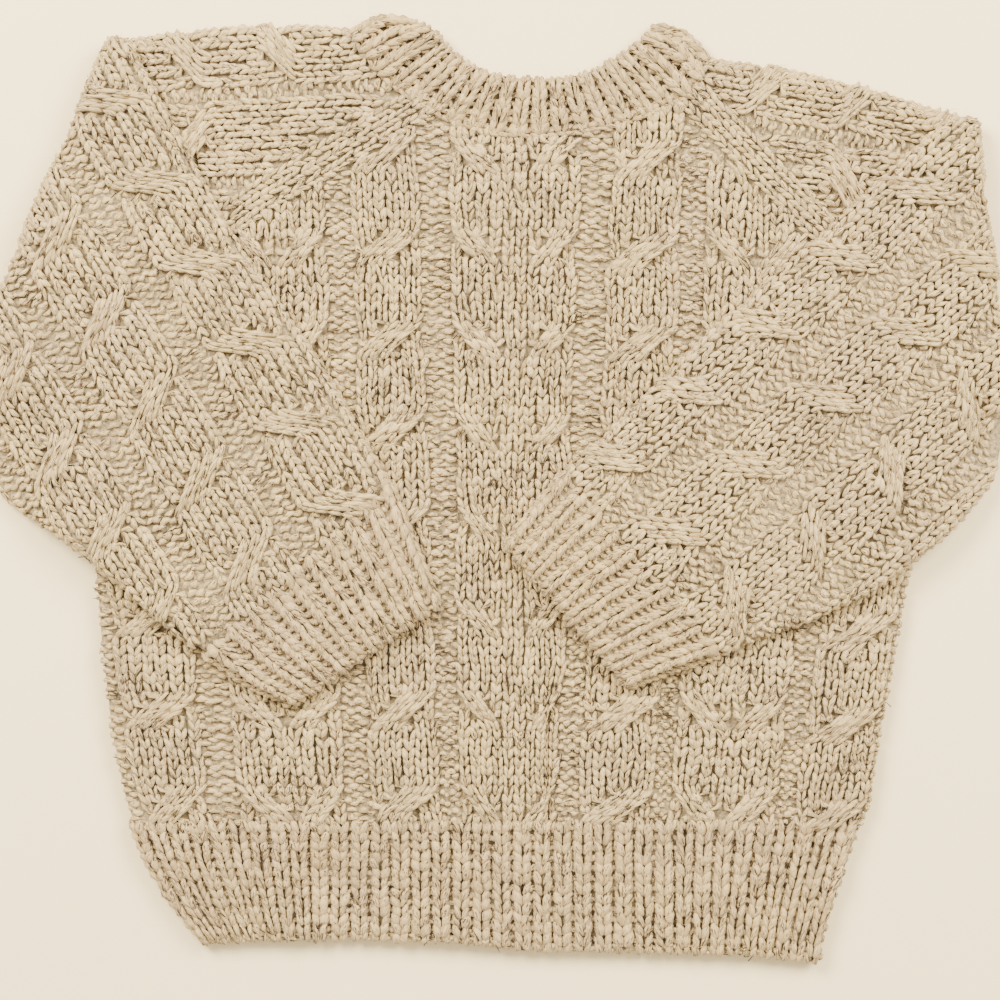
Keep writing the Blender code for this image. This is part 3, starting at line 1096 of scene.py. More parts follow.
@dataclass(frozen=True)
class GapShadeFinish:
    """Painted shade between the stitches: a colour darker than the yarn's stands for the shade in the
    gaps where the shells show, mottled at random, with a fine bump.
    """

    name: str = "painted_gap_shade"
    # dark colour, painted shade for the gaps between the stitches
    colour: tuple = (0.29, 0.222, 0.125)

    def material(self) -> bpy.types.Material:
        """One fine noise gives both the colour and the bump.

        Returns:
            The material.
        """
        painted_shade = Shading(self.name, Roughness=0.95, Specular_IOR_Level=0.1, Sheen_Weight=0.2)
        noise = painted_shade.noise(painted_shade.object_place(), 420.0, 3.0)
        colours = tuple([channel * share for channel in self.colour] for share in (0.5, 1.35))
        mottled = painted_shade.ramp(noise, (0.35, 0.65), colours)
        painted_shade.links.new(mottled, painted_shade.shader.inputs["Base Color"])
        painted_shade.bump(noise, 0.9, 0.002)
        return painted_shade.material


class Wardrobe:
    """The finishes, made once and worn by every piece."""

    def __init__(self) -> None:
        """Make each material."""
        self.cable = YarnFinish("cable_yarn").material()
        self.rib = YarnFinish("rib_yarn", (0.54, 0.415, 0.212), (0.31, 0.228, 0.112)).material()
        # the shells' finish, painted shade: a dark colour in place of the shade between the stitches
        self.base = GapShadeFinish().material()
        self.hair = YarnFinish("halo_hair", fleck_share=0.9).material()
        self.dark_hair = YarnFinish(
            "dark_hair", (0.075, 0.05, 0.034), (0.03, 0.02, 0.014), fleck_share=0.9, sheen=0.0,
        ).material()

    def dress(self, piece: bpy.types.Object, material: bpy.types.Material, slot: str) -> None:
        """Give a piece its finish, and let it ride on the sweater's one body.

        Args:
            piece: the piece.
            material: its finish.
            slot: name of its slot; not used.
        """
        piece.data.materials.append(material)
        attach(piece, "root")


CABLE_SLOT = "cable_knit"
RIB_SLOT = "rib_knit"


# ---- Body ----

CREASE_X = 31.0  # where the crease runs down the middle of the front
CREASE_WIDTH = 4.5
CREASE_DEPTH = 3.6
CREASE_SPAN = (-232.0, -100.0)  # lower and upper end of it
SEAM_REACH = 10.8  # the raglan's own wales take the cloth this far from its line
NECK_REACH = 4.5  # and the band's ridge this far from the neck's seam
COVER_MARGIN = 16.0  # body stitches this deep under a sleeve are left out
SHOULDER_MARGIN = 12.0  # and stitches of the shoulder or a raglan this deep

HOLLOWS = [
    # middle x, middle y, length, width, angle in degrees, depth
    (-165.0, -150.0, 150.0, 14.0, 98.0, 1.6),
    (-60.0, 60.0, 120.0, 26.0, 62.0, 0.9),
    (60.0, 150.0, 90.0, 24.0, 100.0, 0.8),
    (170.0, -130.0, 130.0, 20.0, 80.0, 1.2),
    (-100.0, -215.0, 80.0, 18.0, 115.0, 1.0),
    (120.0, -235.0, 70.0, 16.0, 75.0, 0.9),
]


NECK_FOLD = (22.0, 200.5, 0.0045, 3.4, 2.0)  # middle x, y, curve, width and height of the soft fold


def crease_window(y: np.ndarray) -> np.ndarray:
    """1 along the crease, falling to 0 at both of its ends."""
    low, high = CREASE_SPAN
    return smooth_step(y, low, low + 40) * (1 - smooth_step(y, high - 35, high))


def rounded_rise(inset: np.ndarray) -> np.ndarray:
    """Thickness of a slab's shell at a share in from its side seams: a quarter circle."""
    return SHELL_LEAST + (WALL - SHELL_INSET - SHELL_LEAST) * np.sqrt(1 - (1 - inset) ** 2)


def relief(x: np.ndarray, y: np.ndarray) -> np.ndarray:
    """Listed hollows of the front and slow unevenness: each hollow is a long soft bell.

    Args:
        x, y: plan places.

    Returns:
        Heights over flat cloth.
    """
    total = 0.35 * ripple(x, y, 90.0, 5)
    middle, low, curve, width, height = NECK_FOLD
    past = y - low - curve * (x - middle) ** 2
    total += height * np.exp(-(past / width) ** 2) * (1 - smooth_step(np.abs(x - middle), 22.0, 48.0))
    for middle_x, middle_y, length, width, degrees, depth in HOLLOWS:
        angle = math.radians(degrees)
        along = (x - middle_x) * math.cos(angle) + (y - middle_y) * math.sin(angle)
        across = -(x - middle_x) * math.sin(angle) + (y - middle_y) * math.cos(angle)
        total -= depth * np.exp(-(along / length * 2) ** 2 - (across / width) ** 2)
    return total - CREASE_DEPTH * crease_window(y) * np.exp(-((x - CREASE_X) / CREASE_WIDTH) ** 2)


def wale_x(wale: np.ndarray, y: np.ndarray) -> np.ndarray:
    """X of a body wale at a height.

    Straight between its places at yoke and hem, pulled to the side seams near them, and drawn in
    towards the crease.

    Args:
        wale: places in the chart.
        y: how far up the body.

    Returns:
        The x of each.
    """
    table = np.array(WALE_LINES)
    share = np.clip((YOKE_LEVEL - y) / (YOKE_LEVEL - HEM_LEVEL), -0.3, 1.3)
    yoke, hem = np.interp(wale, table[:, 0], table[:, 1]), np.interp(wale, table[:, 0], table[:, 2])
    x = yoke + (hem - yoke) * share
    left, right = side_x(y, 1), side_x(y, 2)
    near_left = np.clip(1 - wale / (BODY_WALES / 2), 0.0, 1.0) ** 2
    near_right = np.clip(wale / (BODY_WALES / 2) - 1, 0.0, 1.0) ** 2
    x = x + (left - (table[0, 1] + (table[0, 2] - table[0, 1]) * share)) * near_left
    x = x + (right - (table[-1, 1] + (table[-1, 2] - table[-1, 1]) * share)) * near_right
    x = x + np.minimum(wale, 0) * STITCH + np.maximum(wale - BODY_WALES, 0) * STITCH
    away = x - CREASE_X
    return x - 2.6 * crease_window(y) * np.tanh(away / 6.0) * np.exp(-(away / 30.0) ** 2)


def wrap_sides(x: np.ndarray, y: np.ndarray) -> tuple:
    """Roll flat cloth round both side seams; returns its x and how far it drops.

    Args:
        x, y: plan places on flat cloth.

    Returns:
        Their x round the seams, and their drops.
    """
    left, right = side_x(y, 1), side_x(y, 2)
    out_left, drop_left = roll_over(left + WALL - x, WALL)
    out_right, drop_right = roll_over(x - (right - WALL), WALL)
    x = np.where(x < left + WALL, left + WALL - out_left, x)
    x = np.where(x > right - WALL, right - WALL + out_right, x)
    return x, drop_left + drop_right


@dataclass
class BodyPanel:
    """Front or back: a shell and the cabled stitches on it.

    Args:
        wardrobe: the finishes.
        is_front: front or back.
        covers: outlines of what lies over the front.
    """

    wardrobe: Wardrobe
    is_front: bool
    covers: list = field(default_factory=list)

    @property
    def node(self) -> str:
        """Name of the cloth's own solid."""
        return "front" if self.is_front else "back"

    def formula(self, wale: np.ndarray, row: np.ndarray) -> np.ndarray:
        """Cloth point of a chart place: rows up from the hem line, wales across, rolled at the sides.

        Args:
            wale, row: places in the chart.

        Returns:
            Points of shape (..., 3) in millimetres.
        """
        flat_y = HEM_LINE + row * ROW
        flat_x = wale_x(wale, flat_y)
        y = flat_y - ROW_SAG * smooth_step(flat_x, 10.0, 230.0) + 0.8 * ripple(flat_x, flat_y, 70.0, 3)
        flat_x = flat_x + 0.8 * ripple(flat_x, flat_y, 60.0, 4) + 0.7 * ripple(flat_x, flat_y, 21.0, 6)
        x, drop = wrap_sides(flat_x, y)
        face = TUBE - drop + relief(x, y)
        return np.stack([x, y, face if self.is_front else TUBE - face], axis=-1)

    def shell(self) -> bpy.types.Object:
        """The panel's slab, a little inside its cloth faces.

        Returns:
            The shell.
        """
        shares = fine_ended(64)
        left, right = SIDE_SEAMS[-1][1:]
        neck = [(x, y - 0.5) for x, y, *_ in NECK_TABLE[2:8]]
        line = np.array([RAGLAN_LEFT[-1], RAGLAN_LEFT[2]] + neck + [RAGLAN_RIGHT[2], RAGLAN_RIGHT[-1]])
        top = np.interp(left + shares * (right - left), line[:, 0], line[:, 1]) - 0.5
        heights = HEM_LINE + 0.3 + (top - HEM_LINE)[:, None] * np.linspace(0.0, 1.0, 60)[None]
        side_left, side_right = side_x(heights, 1) + SHELL_INSET, side_x(heights, 2) - SHELL_INSET
        x = side_left + (side_right - side_left) * shares[:, None]
        inset = np.clip(np.minimum(x - side_left, side_right - x) / (WALL - SHELL_INSET), 0.0, 1.0)
        rise = rounded_rise(inset)
        high = WALL + LAYER_GAP + rise + np.minimum(relief(x, heights), 0.0)
        low = np.full_like(high, WALL + LAYER_GAP)
        high = np.maximum(high, low + SHELL_LEAST)
        plan = np.stack([x, heights], axis=-1)
        if self.is_front:
            return slab_shell(self.node + "_cloth", plan, low, high)
        return slab_shell(self.node + "_cloth", plan, TUBE - WALL - LAYER_GAP - rise, TUBE - low)

    def stitches(self) -> list:
        """The panel's stitches in two pieces, those of the cables and those of the ground.

        Returns:
            Both pieces.
        """
        below = not self.is_front
        surface = Surface(self.formula, (-1.5, BODY_WALES + 1.5), (-3.0, BODY_ROWS + 3.0), below)
        chart = body_chart()
        template = PLAIN_LEG if below else FINE_LEG
        wale, row = every_stitch(BODY_WALES, -1, BODY_ROWS)
        knit = Knitting(self.node + "_cables", surface, chart, (STITCH, ROW), template,
                        SEED + self.is_front, lift=UNDER_LIFT if below else 0.0)
        middle = knit.middles(wale, row)[:, :2]
        keep = middle[:, 1] > HEM_LINE - 1.5
        top = np.array(RAGLAN_LEFT[::-1] + [(x, y) for x, y, *_ in NECK_TABLE[3:7]] + RAGLAN_RIGHT)
        keep &= middle[:, 1] < np.interp(middle[:, 0], top[:, 0], top[:, 1])
        for seam in (RAGLAN_LEFT, RAGLAN_RIGHT):
            keep &= edge_distance(middle, PlanCurve(seam).points) > SEAM_REACH
        keep &= edge_distance(middle, np.array(NECK_TABLE)[:, :2]) > NECK_REACH
        for cover in self.covers:
            keep &= depth_inside(middle, cover) < COVER_MARGIN
        purled = chart.kind[wale] == Stitch.PURL.value
        pieces = []
        for name, part in (("_cables", keep & ~purled), ("_channels", keep & purled)):
            knit.name = self.node + name
            pieces.append(knit.build(wale[part], row[part]))
        return pieces

    def build(self) -> list:
        """Shell and stitches, dressed.

        Returns:
            The shell, then its stitches.
        """
        shell = self.shell()
        self.wardrobe.dress(shell, self.wardrobe.base, CABLE_SLOT)
        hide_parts(self.node)
        pieces = self.stitches()
        for piece in pieces:
            self.wardrobe.dress(piece, self.wardrobe.cable, CABLE_SLOT)
        return [shell, *pieces]


# ---- Hem ----

HEM_RIBS = 36
HEM_ROWS = 12
HEM_PITCH = (6.0, 5.8)
HEM_FAN = 115.0  # how far in from a side seam the ribs lean with it
HEM_LIP = 0.96  # share down the hem past which it rounds over
HEM_REACH = 70.0  # length from its seam to its edge
LIP_RADIUS = 3.0  # rounding of the hem's and the cuffs' rims


@dataclass
class Hem:
    """The ribbed hem of front or back."""

    wardrobe: Wardrobe
    is_front: bool

    @property
    def node(self) -> str:
        """Name of the hem's own solid."""
        return "hem_front" if self.is_front else "hem_back"

    @staticmethod
    def plan(share: np.ndarray, down: np.ndarray) -> tuple:
        """Flat plan of the hem: share across its width, down from its seam to its edge.

        The ribs hang straight, except that those by a side seam lean in with it, by a share that
        falls from one at the seam to nothing at the width of the fan.

        Args:
            share: share across.
            down: share down.

        Returns:
            x and y.
        """
        table = np.array(HEM_EDGE)
        edge = np.interp(share, table[:, 0], table[:, 1])
        y = HEM_LINE - 0.4 + (edge - HEM_LINE + 0.4) * down
        left, right = side_x(HEM_LINE, 1), side_x(HEM_LINE, 2)
        x = left + (right - left) * share
        near_left = np.clip(1 - (x - left) / HEM_FAN, 0.0, 1.0) ** 1.2
        near_right = np.clip(1 - (right - x) / HEM_FAN, 0.0, 1.0) ** 1.2
        return x + (side_x(y, 1) - left) * near_left + (side_x(y, 2) - right) * near_right, y

    def formula(self, wale: np.ndarray, row: np.ndarray) -> np.ndarray:
        """Cloth point of a rib chart: even ribs across, rows up from the cast-off edge.

        Args:
            wale, row: places in the chart.

        Returns:
            Points of shape (..., 3) in millimetres.
        """
        share = wale / (2 * HEM_RIBS)
        down = 1 - row / HEM_ROWS
        held = np.clip(share, 0.0, 1.0)
        x, y = self.plan(held, down)
        x = x + (share - held) * 430.0
        x, drop = wrap_sides(x, y)
        past = (down - HEM_LIP) * HEM_REACH
        out, lip = roll_over(past, LIP_RADIUS)
        face = TUBE - drop - lip + relief(x, y) + 0.5 * ripple(x, y, 50.0, 8)
        y = np.where(down > HEM_LIP, y + past - out, y)
        return np.stack([x, y, face if self.is_front else TUBE - face], axis=-1)

    def shell(self) -> bpy.types.Object:
        """The hem's slab, a little inside its cloth faces.

        Returns:
            The shell.
        """
        share = fine_ended(80)[:, None]
        down = np.concatenate([np.linspace(1.0, 0.97, 3), np.linspace(0.94, 0.0, 16)])[None]
        x, y = self.plan(share, down * 0.985)
        left, right = side_x(y, 1), side_x(y, 2)
        inset = np.clip(np.minimum(x - left, right - x) / (WALL - SHELL_INSET), 0.0, 1.0)
        x = x + SHELL_INSET * np.where(share < 0.5, 1, -1) * (1 - inset)
        rise = rounded_rise(inset)
        rise = rise * np.where(down > 0.985, 0.6, 1.0)
        plan = np.stack([x, y], axis=-1)
        if self.is_front:
            low = np.full_like(x, WALL + LAYER_GAP)
            high = np.maximum(low + rise + np.minimum(relief(x, y), 0), low + SHELL_LEAST)
            return slab_shell(self.node + "_cloth", plan, low, high)
        return slab_shell(self.node + "_cloth", plan, WALL - rise, np.full_like(x, WALL))

    def build(self) -> list:
        """Shell and ribs, dressed.

        Returns:
            The shell, then its stitches.
        """
        shell = self.shell()
        self.wardrobe.dress(shell, self.wardrobe.base, RIB_SLOT)
        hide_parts(self.node)
        below = not self.is_front
        surface = Surface(self.formula, (-2.0, 2 * HEM_RIBS + 2.0), (-1.5, HEM_ROWS + 3.0), below)
        chart = Chart(2 * HEM_RIBS, HEM_ROWS)
        template = PLAIN_LEG if below else FINE_LEG
        knit = Knitting(self.node + "_ribs", surface, chart, HEM_PITCH, template,
                        SEED + 5 + self.is_front, lift=UNDER_LIFT if below else 0.0)
        pieces = rib_pieces(knit, HEM_ROWS + 1, 0)
        for piece in pieces:
            self.wardrobe.dress(piece, self.wardrobe.rib, RIB_SLOT)
        return [shell, *pieces]


# ---- Sleeves ----

@dataclass(frozen=True)
class SleeveCut:
    """All the sizes of one sleeve, in the layout.

    Args:
        side: -1 for the left of the layout and 1 for the right.
        raglan: its raglan seam, neck to armpit.
        neck: its end at the neckband, shoulder to raglan.
        fold: shoulder end and underarm end of the fold line.
        shoulder: its upper edge before the fold.
        cap_heading: the way the wales run before the fold, in degrees.
        edges: rows of shoulder edge x, y and underarm edge x, y after the fold.
        heading: the way the wales run after the fold, in degrees.
        stitch, row: width of a wale and height of a row after the fold.
        cuff: rows of shoulder edge and underarm edge of the cuff.
    """

    side: int
    raglan: list
    neck: list
    fold: list
    shoulder: list
    cap_heading: float
    edges: list
    heading: float
    stitch: float
    row: float
    cuff: list


LEFT_CUT = SleeveCut(
    side=-1,
    raglan=RAGLAN_LEFT,
    neck=[(-85.0, 277.0), (-67.0, 253.0), (-43.0, 235.0)],
    fold=[(-218.0, 271.0), (-303.0, 78.0)],
    shoulder=[(-85.0, 277.0), (-120.0, 279.5), (-155.0, 279.0), (-186.0, 276.0), (-218.0, 271.0)],
    cap_heading=183.0,
    edges=[
        (-218.0, 271.0, -308.0, 75.0),
        (-209.0, 249.0, -311.0, 54.0),
        (-190.0, 214.0, -309.0, 26.0),
        (-168.0, 172.0, -297.0, -2.0),
        (-144.0, 132.0, -268.0, -24.0),
        (-117.0, 95.0, -240.0, -43.0),
        (-90.0, 52.0, -207.0, -71.0),
        (-62.0, 2.0, -173.0, -99.0),
    ],
    heading=-59.33,
    stitch=8.2,
    row=5.57,
    cuff=[(-62.0, 2.0, -173.0, -99.0), (-48.0, -33.0, -146.0, -117.0), (-34.0, -68.0, -122.0, -128.0)],
)
RIGHT_CUT = SleeveCut(
    side=1,
    raglan=RAGLAN_RIGHT,
    neck=[(124.0, 260.0), (119.0, 251.0), (114.0, 242.0)],
    fold=[(274.0, 225.0), (295.0, 62.0)],
    shoulder=[(124.0, 260.0), (160.0, 255.5), (200.0, 247.0), (240.0, 236.0), (274.0, 225.0)],
    cap_heading=-9.0,
    edges=[
        (274.0, 225.0, 301.0, 60.0),
        (258.0, 212.0, 305.0, 42.0),
        (232.0, 188.0, 301.0, 12.0),
        (203.0, 161.0, 280.0, -15.0),
        (175.0, 136.0, 251.0, -41.0),
        (146.0, 111.0, 223.0, -60.0),
        (116.0, 84.0, 190.0, -76.0),
        (79.0, 46.0, 162.0, -87.0),
        (40.0, 10.0, 133.0, -98.0),
    ],
    heading=-139.5,
    stitch=7.2,
    row=6.1,
    cuff=[(40.0, 10.0, 133.0, -98.0), (22.0, -11.0, 105.0, -107.0), (5.0, -32.0, 79.0, -117.0)],
)


class SleeveForm:
    """The forms that a sleeve's shell, stitches and cuff share."""

    def __init__(self, cut: SleeveCut) -> None:
        """Work out the fold and both frames of wales.

        Args:
            cut: the sleeve's sizes.
        """
        self.cut = cut
        top, under = np.array(cut.fold)
        self.pivot = top
        self.fold_along = unit(top - under)
        self.outward = cut.side * np.array([self.fold_along[1], -self.fold_along[0]])
        self.underarm = cut.raglan[-1][1]
        edges = np.array(cut.edges + cut.cuff[1:])
        self.top_edge, self.under_edge = PlanCurve(edges[:, :2]), PlanCurve(edges[:, 2:])
        angle = math.radians(cut.heading)
        self.run = np.array([math.cos(angle), math.sin(angle)])
        self.across = self._toward_underarm(self.run)
        angle = math.radians(cut.cap_heading)
        self.cap_run = np.array([math.cos(angle), math.sin(angle)])
        self.cap_across = self._toward_underarm(self.cap_run)

    def _toward_underarm(self, run: np.ndarray) -> np.ndarray:
        """The unit direction square to the wales that points to the underarm."""
        square = np.array([-run[1], run[0]])
        middle = np.array(self.cut.edges[4][2:]) - np.array(self.cut.edges[4][:2])
        return square if square @ middle > 0 else -square

    def outline(self) -> np.ndarray:
        """Outline of what lies folded over the front: fold, shoulder edge, cuff, underarm edge."""
        return np.concatenate([self.top_edge.points, self.under_edge.points[::-1]])

    def rest_height(self, x: np.ndarray, y: np.ndarray) -> np.ndarray:
        """Height of what lies under the folded sleeve, sinking to the surface past the body.

        Args:
            x, y: plan places.

        Returns:
            Heights.
        """
        past_side = self.cut.side * (x - side_x(y, 1 if self.cut.side < 0 else 2))
        overhang = np.minimum(past_side, self.underarm - y)
        return ON_BODY * (1 - smooth_step(overhang, DROP_START, DROP_END))

    def past_fold(self, x: np.ndarray, y: np.ndarray) -> np.ndarray:
        """How far each plan point lies outward of the fold line, negative inward of it."""
        return (x - self.pivot[0]) * self.outward[0] + (y - self.pivot[1]) * self.outward[1]

    def lift(self, x: np.ndarray, y: np.ndarray) -> np.ndarray:
        """The share by which the sleeve stands higher beside its fold."""
        return 1 + FOLD_LIFT / ON_BODY * (1 - smooth_step(-self.past_fold(x, y), 0.0, FOLD_SETTLE))

    def folded_top(self, x: np.ndarray, y: np.ndarray) -> np.ndarray:
        """Height of the folded sleeve's upper face."""
        swell = 0.7 * ripple(x, y, 80.0, 20 + self.cut.side)
        return self.rest_height(x, y) * self.lift(x, y) + TUBE + swell

    @staticmethod
    def _edges_in(origin: np.ndarray, run: np.ndarray, across: np.ndarray, curve: PlanCurve) -> tuple:
        """An edge curve in a frame of wales: distances along the wales and across them."""
        reach = curve.points - origin
        return reach @ run, reach @ across

    def folded(self, wale: np.ndarray, row: np.ndarray) -> np.ndarray:
        """Cloth point of the folded sleeve: straight wales, rolled at both edges and over the fold.

        Args:
            wale, row: places in the chart.

        Returns:
            Points of shape (..., 3) in millimetres.
        """
        origin = np.array(self.cut.edges[0][:2])
        s, t = row * self.cut.row, (wale - EDGE_WALES) * self.cut.stitch
        top_s, top_t = self._edges_in(origin, self.run, self.across, self.top_edge)
        under_s, under_t = self._edges_in(origin, self.run, self.across, self.under_edge)
        near = np.interp(s, top_s, top_t) + TUBE_HALF + np.maximum(4.0 - s, 0.0) * 0.8
        far = np.interp(s, under_s, under_t) - TUBE_HALF
        far = np.where(s < under_s[0], far + (under_s[0] - s) * 1.2, far)
        out_near, drop_near = roll_over(near - t, TUBE_HALF)
        out_far, drop_far = roll_over(t - far, TUBE_HALF)
        flat_t = np.where(t < near, near - out_near, np.where(t > far, far + out_far, t))
        x = origin[0] + s * self.run[0] + flat_t * self.across[0]
        y = origin[1] + s * self.run[1] + flat_t * self.across[1]
        past = np.maximum(self.past_fold(x, y), 0.0)
        out_fold, drop_fold = roll_over(past, FOLD_RADIUS)
        x = x - (past - out_fold) * self.outward[0]
        y = y - (past - out_fold) * self.outward[1]
        z = self.folded_top(x, y) - drop_near - drop_far - drop_fold
        return np.stack([x, y, z], axis=-1)

    def cap(self, wale: np.ndarray, row: np.ndarray) -> np.ndarray:
        """Cloth point of the sleeve before its fold: straight wales, rolled over the shoulder edge.

        Args:
            wale, row: places in the chart.

        Returns:
            Points of shape (..., 3) in millimetres.
        """
        origin = np.array(self.cut.shoulder[0])
        s, t = row * ROW, (wale - EDGE_WALES) * CAP_STITCH
        shoulder = PlanCurve(self.cut.shoulder)
        edge_s, edge_t = self._edges_in(origin, self.cap_run, self.cap_across, shoulder)
        near = np.interp(s, edge_s, edge_t) + TUBE_HALF
        out, drop = roll_over(near - t, TUBE_HALF)
        flat_t = np.where(t < near, near - out, t)
        x = origin[0] + s * self.cap_run[0] + flat_t * self.cap_across[0]
        y = origin[1] + s * self.cap_run[1] + flat_t * self.cap_across[1]
        return np.stack([x, y, TUBE - drop + 0.6 * ripple(x, y, 60.0, 30)], axis=-1)

    def cap_below(self, wale: np.ndarray, row: np.ndarray) -> np.ndarray:
        """The cap's underside.

        Args:
            wale, row: places in the chart.

        Returns:
            Points of shape (..., 3) in millimetres.
        """
        point = self.cap(wale, row)
        point[..., 2] = TUBE - point[..., 2]
        return point


def pull_in(line: np.ndarray, amount: float) -> np.ndarray:
    """Shorten a line at both ends, so that the rounded folds end where the line did.

    Args:
        line: (n, 3) points.
        amount: millimetres to take off each end.

    Returns:
        The shorter line.
    """
    reach = unit(line[-1] - line[0])
    span = np.linalg.norm(line[-1] - line[0])
    share = np.linalg.norm(line - line[0], axis=1)[:, None] / span
    return line + reach * amount * (1 - 2 * share)


@dataclass
class Sleeve:
    """One sleeve: its shell, its stitches before and after the fold, and those underneath."""

    wardrobe: Wardrobe
    form: SleeveForm
    name: str
    chart: Chart
    cap_chart: Chart
    area: float
    flat: tuple

    def shell(self) -> bpy.types.Object:
        """The flattened tube from the raglan seam over the fold to the cuff's seam.

        Returns:
            The shell.
        """
        cut = self.form.cut
        share = np.linspace(0.0, 1.0, 31)
        named = np.array(cut.neck[:3] + [cut.raglan[2], cut.raglan[-1]])
        knots = (0.0, 0.1, 0.2, 0.6, 1.0)
        seam = np.stack([np.interp(share, knots, named[:, axis]) for axis in (0, 1)], axis=-1)
        seam[:, 0] += cut.side * 0.8
        top, under = np.array(cut.fold)
        fold = top + (under - top) * share[:, None]
        lines, backs = [], []
        for part in np.linspace(0.0, 1.0, 14)[:-1]:
            line = seam + (fold - seam) * part
            line[:, 1] += 4.5 * 4 * part * (1 - part) * (1 - share)
            lines.append(pull_in(np.column_stack([line, np.full(len(line), TUBE_HALF)]), TUBE_HALF))
            backs.append(-UP)
        radius = TUBE_HALF + FOLD_SPACE
        pivot = pull_in(np.column_stack([fold, np.full(len(fold), TUBE_HALF + radius)]), TUBE_HALF)
        outward = np.array([*self.form.outward, 0.0])
        for turn in np.linspace(0.0, math.pi, 13):
            back = math.sin(turn) * outward - math.cos(turn) * UP
            lines.append(pivot + radius * back)
            backs.append(back)
        table = np.array(cut.edges)
        near, far = PlanCurve(table[:, :2]).points, PlanCurve(table[:, 2:]).points
        for index in np.linspace(6, len(near) - 1, len(near) // 4).astype(int):
            line = near[index] + (far[index] - near[index]) * share[:, None]
            height = self.form.rest_height(*line.T) * self.form.lift(*line.T)
            lines.append(pull_in(np.column_stack([line, height + TUBE_HALF]), TUBE_HALF))
            backs.append(UP)
        return tube_shell(self.name + "_cloth", lines, backs, np.zeros(len(lines)))

    def folded_stitches(self) -> bpy.types.Object:
        """Stitches of the face that shows after the fold, round its edges and over the fold.

        Returns:
            The piece.
        """
        form, chart = self.form, self.chart
        surface = Surface(form.folded, (-3.0, chart.wales + 1.0), (-28.0, chart.rows + 2.0))
        pitch = (form.cut.stitch, form.cut.row)
        seed = SEED + 20 + form.cut.side
        knit = Knitting(self.name + "_cables", surface, chart, pitch, FINE_LEG, seed)
        wale, row = every_stitch(chart.wales, -25, chart.rows)
        middle = knit.middles(wale, row)
        place = chart.read(chart.place, wale, row.astype(float))
        origin = np.array(form.cut.edges[0][:2])
        reach = (place - EDGE_WALES) * form.cut.stitch
        flat = origin + np.outer(row * form.cut.row, form.run) + np.outer(reach, form.across)
        past_fold = (flat - form.pivot) @ form.outward
        keep = past_fold < 25.0
        outline = form.outline()
        keep &= (depth_inside(flat, outline) > -7.5) | (past_fold > -3.0) & (middle[:, 2] > 3.0)
        seam_top, seam_under = np.array(form.cut.cuff[0][:2]), np.array(form.cut.cuff[0][2:])
        along_seam = unit(seam_under - seam_top)
        past_seam = np.array([-along_seam[1], along_seam[0]])
        past_seam = past_seam if past_seam @ form.run > 0 else -past_seam
        keep &= (flat - seam_top) @ past_seam < -1.0
        under_limit = (flat - np.array(form.cut.fold[1])) @ form.fold_along
        keep &= (past_fold < 0.0) | ((under_limit > -10.0) & (under_limit < 215.0))
        return knit.build(wale[keep], row[keep])

    def cap_stitches(self, below: bool) -> bpy.types.Object:
        """Stitches of the shoulder before the fold, seen from above or, simpler, from below.

        Args:
            below: whether they look down.

        Returns:
            The piece.
        """
        form, chart = self.form, self.cap_chart
        formula = form.cap_below if below else form.cap
        surface = Surface(formula, (-4.0, chart.wales + 1.0), (-8.0, chart.rows + 2.0), below)
        template = PLAIN_LEG if below else FINE_LEG
        name = self.name + ("_underside" if below else "_shoulder")
        knit = Knitting(name, surface, chart, (CAP_STITCH, ROW), template, SEED + 30 + form.cut.side,
                        lift=UNDER_LIFT if below else 0.0)
        wale, row = every_stitch(chart.wales, -6, chart.rows)
        middle = knit.middles(wale, row)[:, :2]
        place = chart.read(chart.place, wale, row.astype(float))
        origin = np.array(form.cut.shoulder[0])
        reach = (place - EDGE_WALES) * CAP_STITCH
        flat = origin + np.outer(row * ROW, form.cap_run) + np.outer(reach, form.cap_across)
        shoulder, raglan = PlanCurve(form.cut.shoulder).points, PlanCurve(form.cut.raglan).points
        underarm, neck = np.array(form.cut.fold[1:]), np.array(form.cut.neck[1:2])
        outline = np.concatenate([shoulder, underarm, raglan[::-1], neck])
        keep = depth_inside(flat, outline) > -7.0
        keep &= inside(middle, outline) | (edge_distance(middle, shoulder) < 9.0)
        keep &= edge_distance(middle, raglan) > SEAM_REACH
        keep &= edge_distance(middle, np.array(form.cut.neck)) > 3.5
        outside_neck = (middle - np.array(form.cut.neck[0])) @ form.cap_run
        keep &= (outside_neck > 0.0) | inside(middle, outline)
        if not below:
            keep &= depth_inside(middle, form.outline()) < SHOULDER_MARGIN
        else:
            keep &= (middle - form.pivot) @ form.outward < 6.0
        return knit.build(wale[keep], row[keep])

    def build(self) -> list:
        """Shell and stitches, dressed.

        Returns:
            The shell, then its stitches.
        """
        shell = self.shell()
        self.wardrobe.dress(shell, self.wardrobe.base, CABLE_SLOT)
        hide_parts(self.name)
        pieces = [self.folded_stitches(), self.cap_stitches(False), self.cap_stitches(True)]
        for piece in pieces:
            self.wardrobe.dress(piece, self.wardrobe.cable, CABLE_SLOT)
        return [shell, *pieces]


CUFF_RIBS = 10
CUFF_ROWS = 12
CUFF_PITCH = (6.9, 5.1)
CUFF_LIP = 0.95  # share down the cuff past which it rounds over
CUFF_REACH = 62.0  # length from its seam to its rim


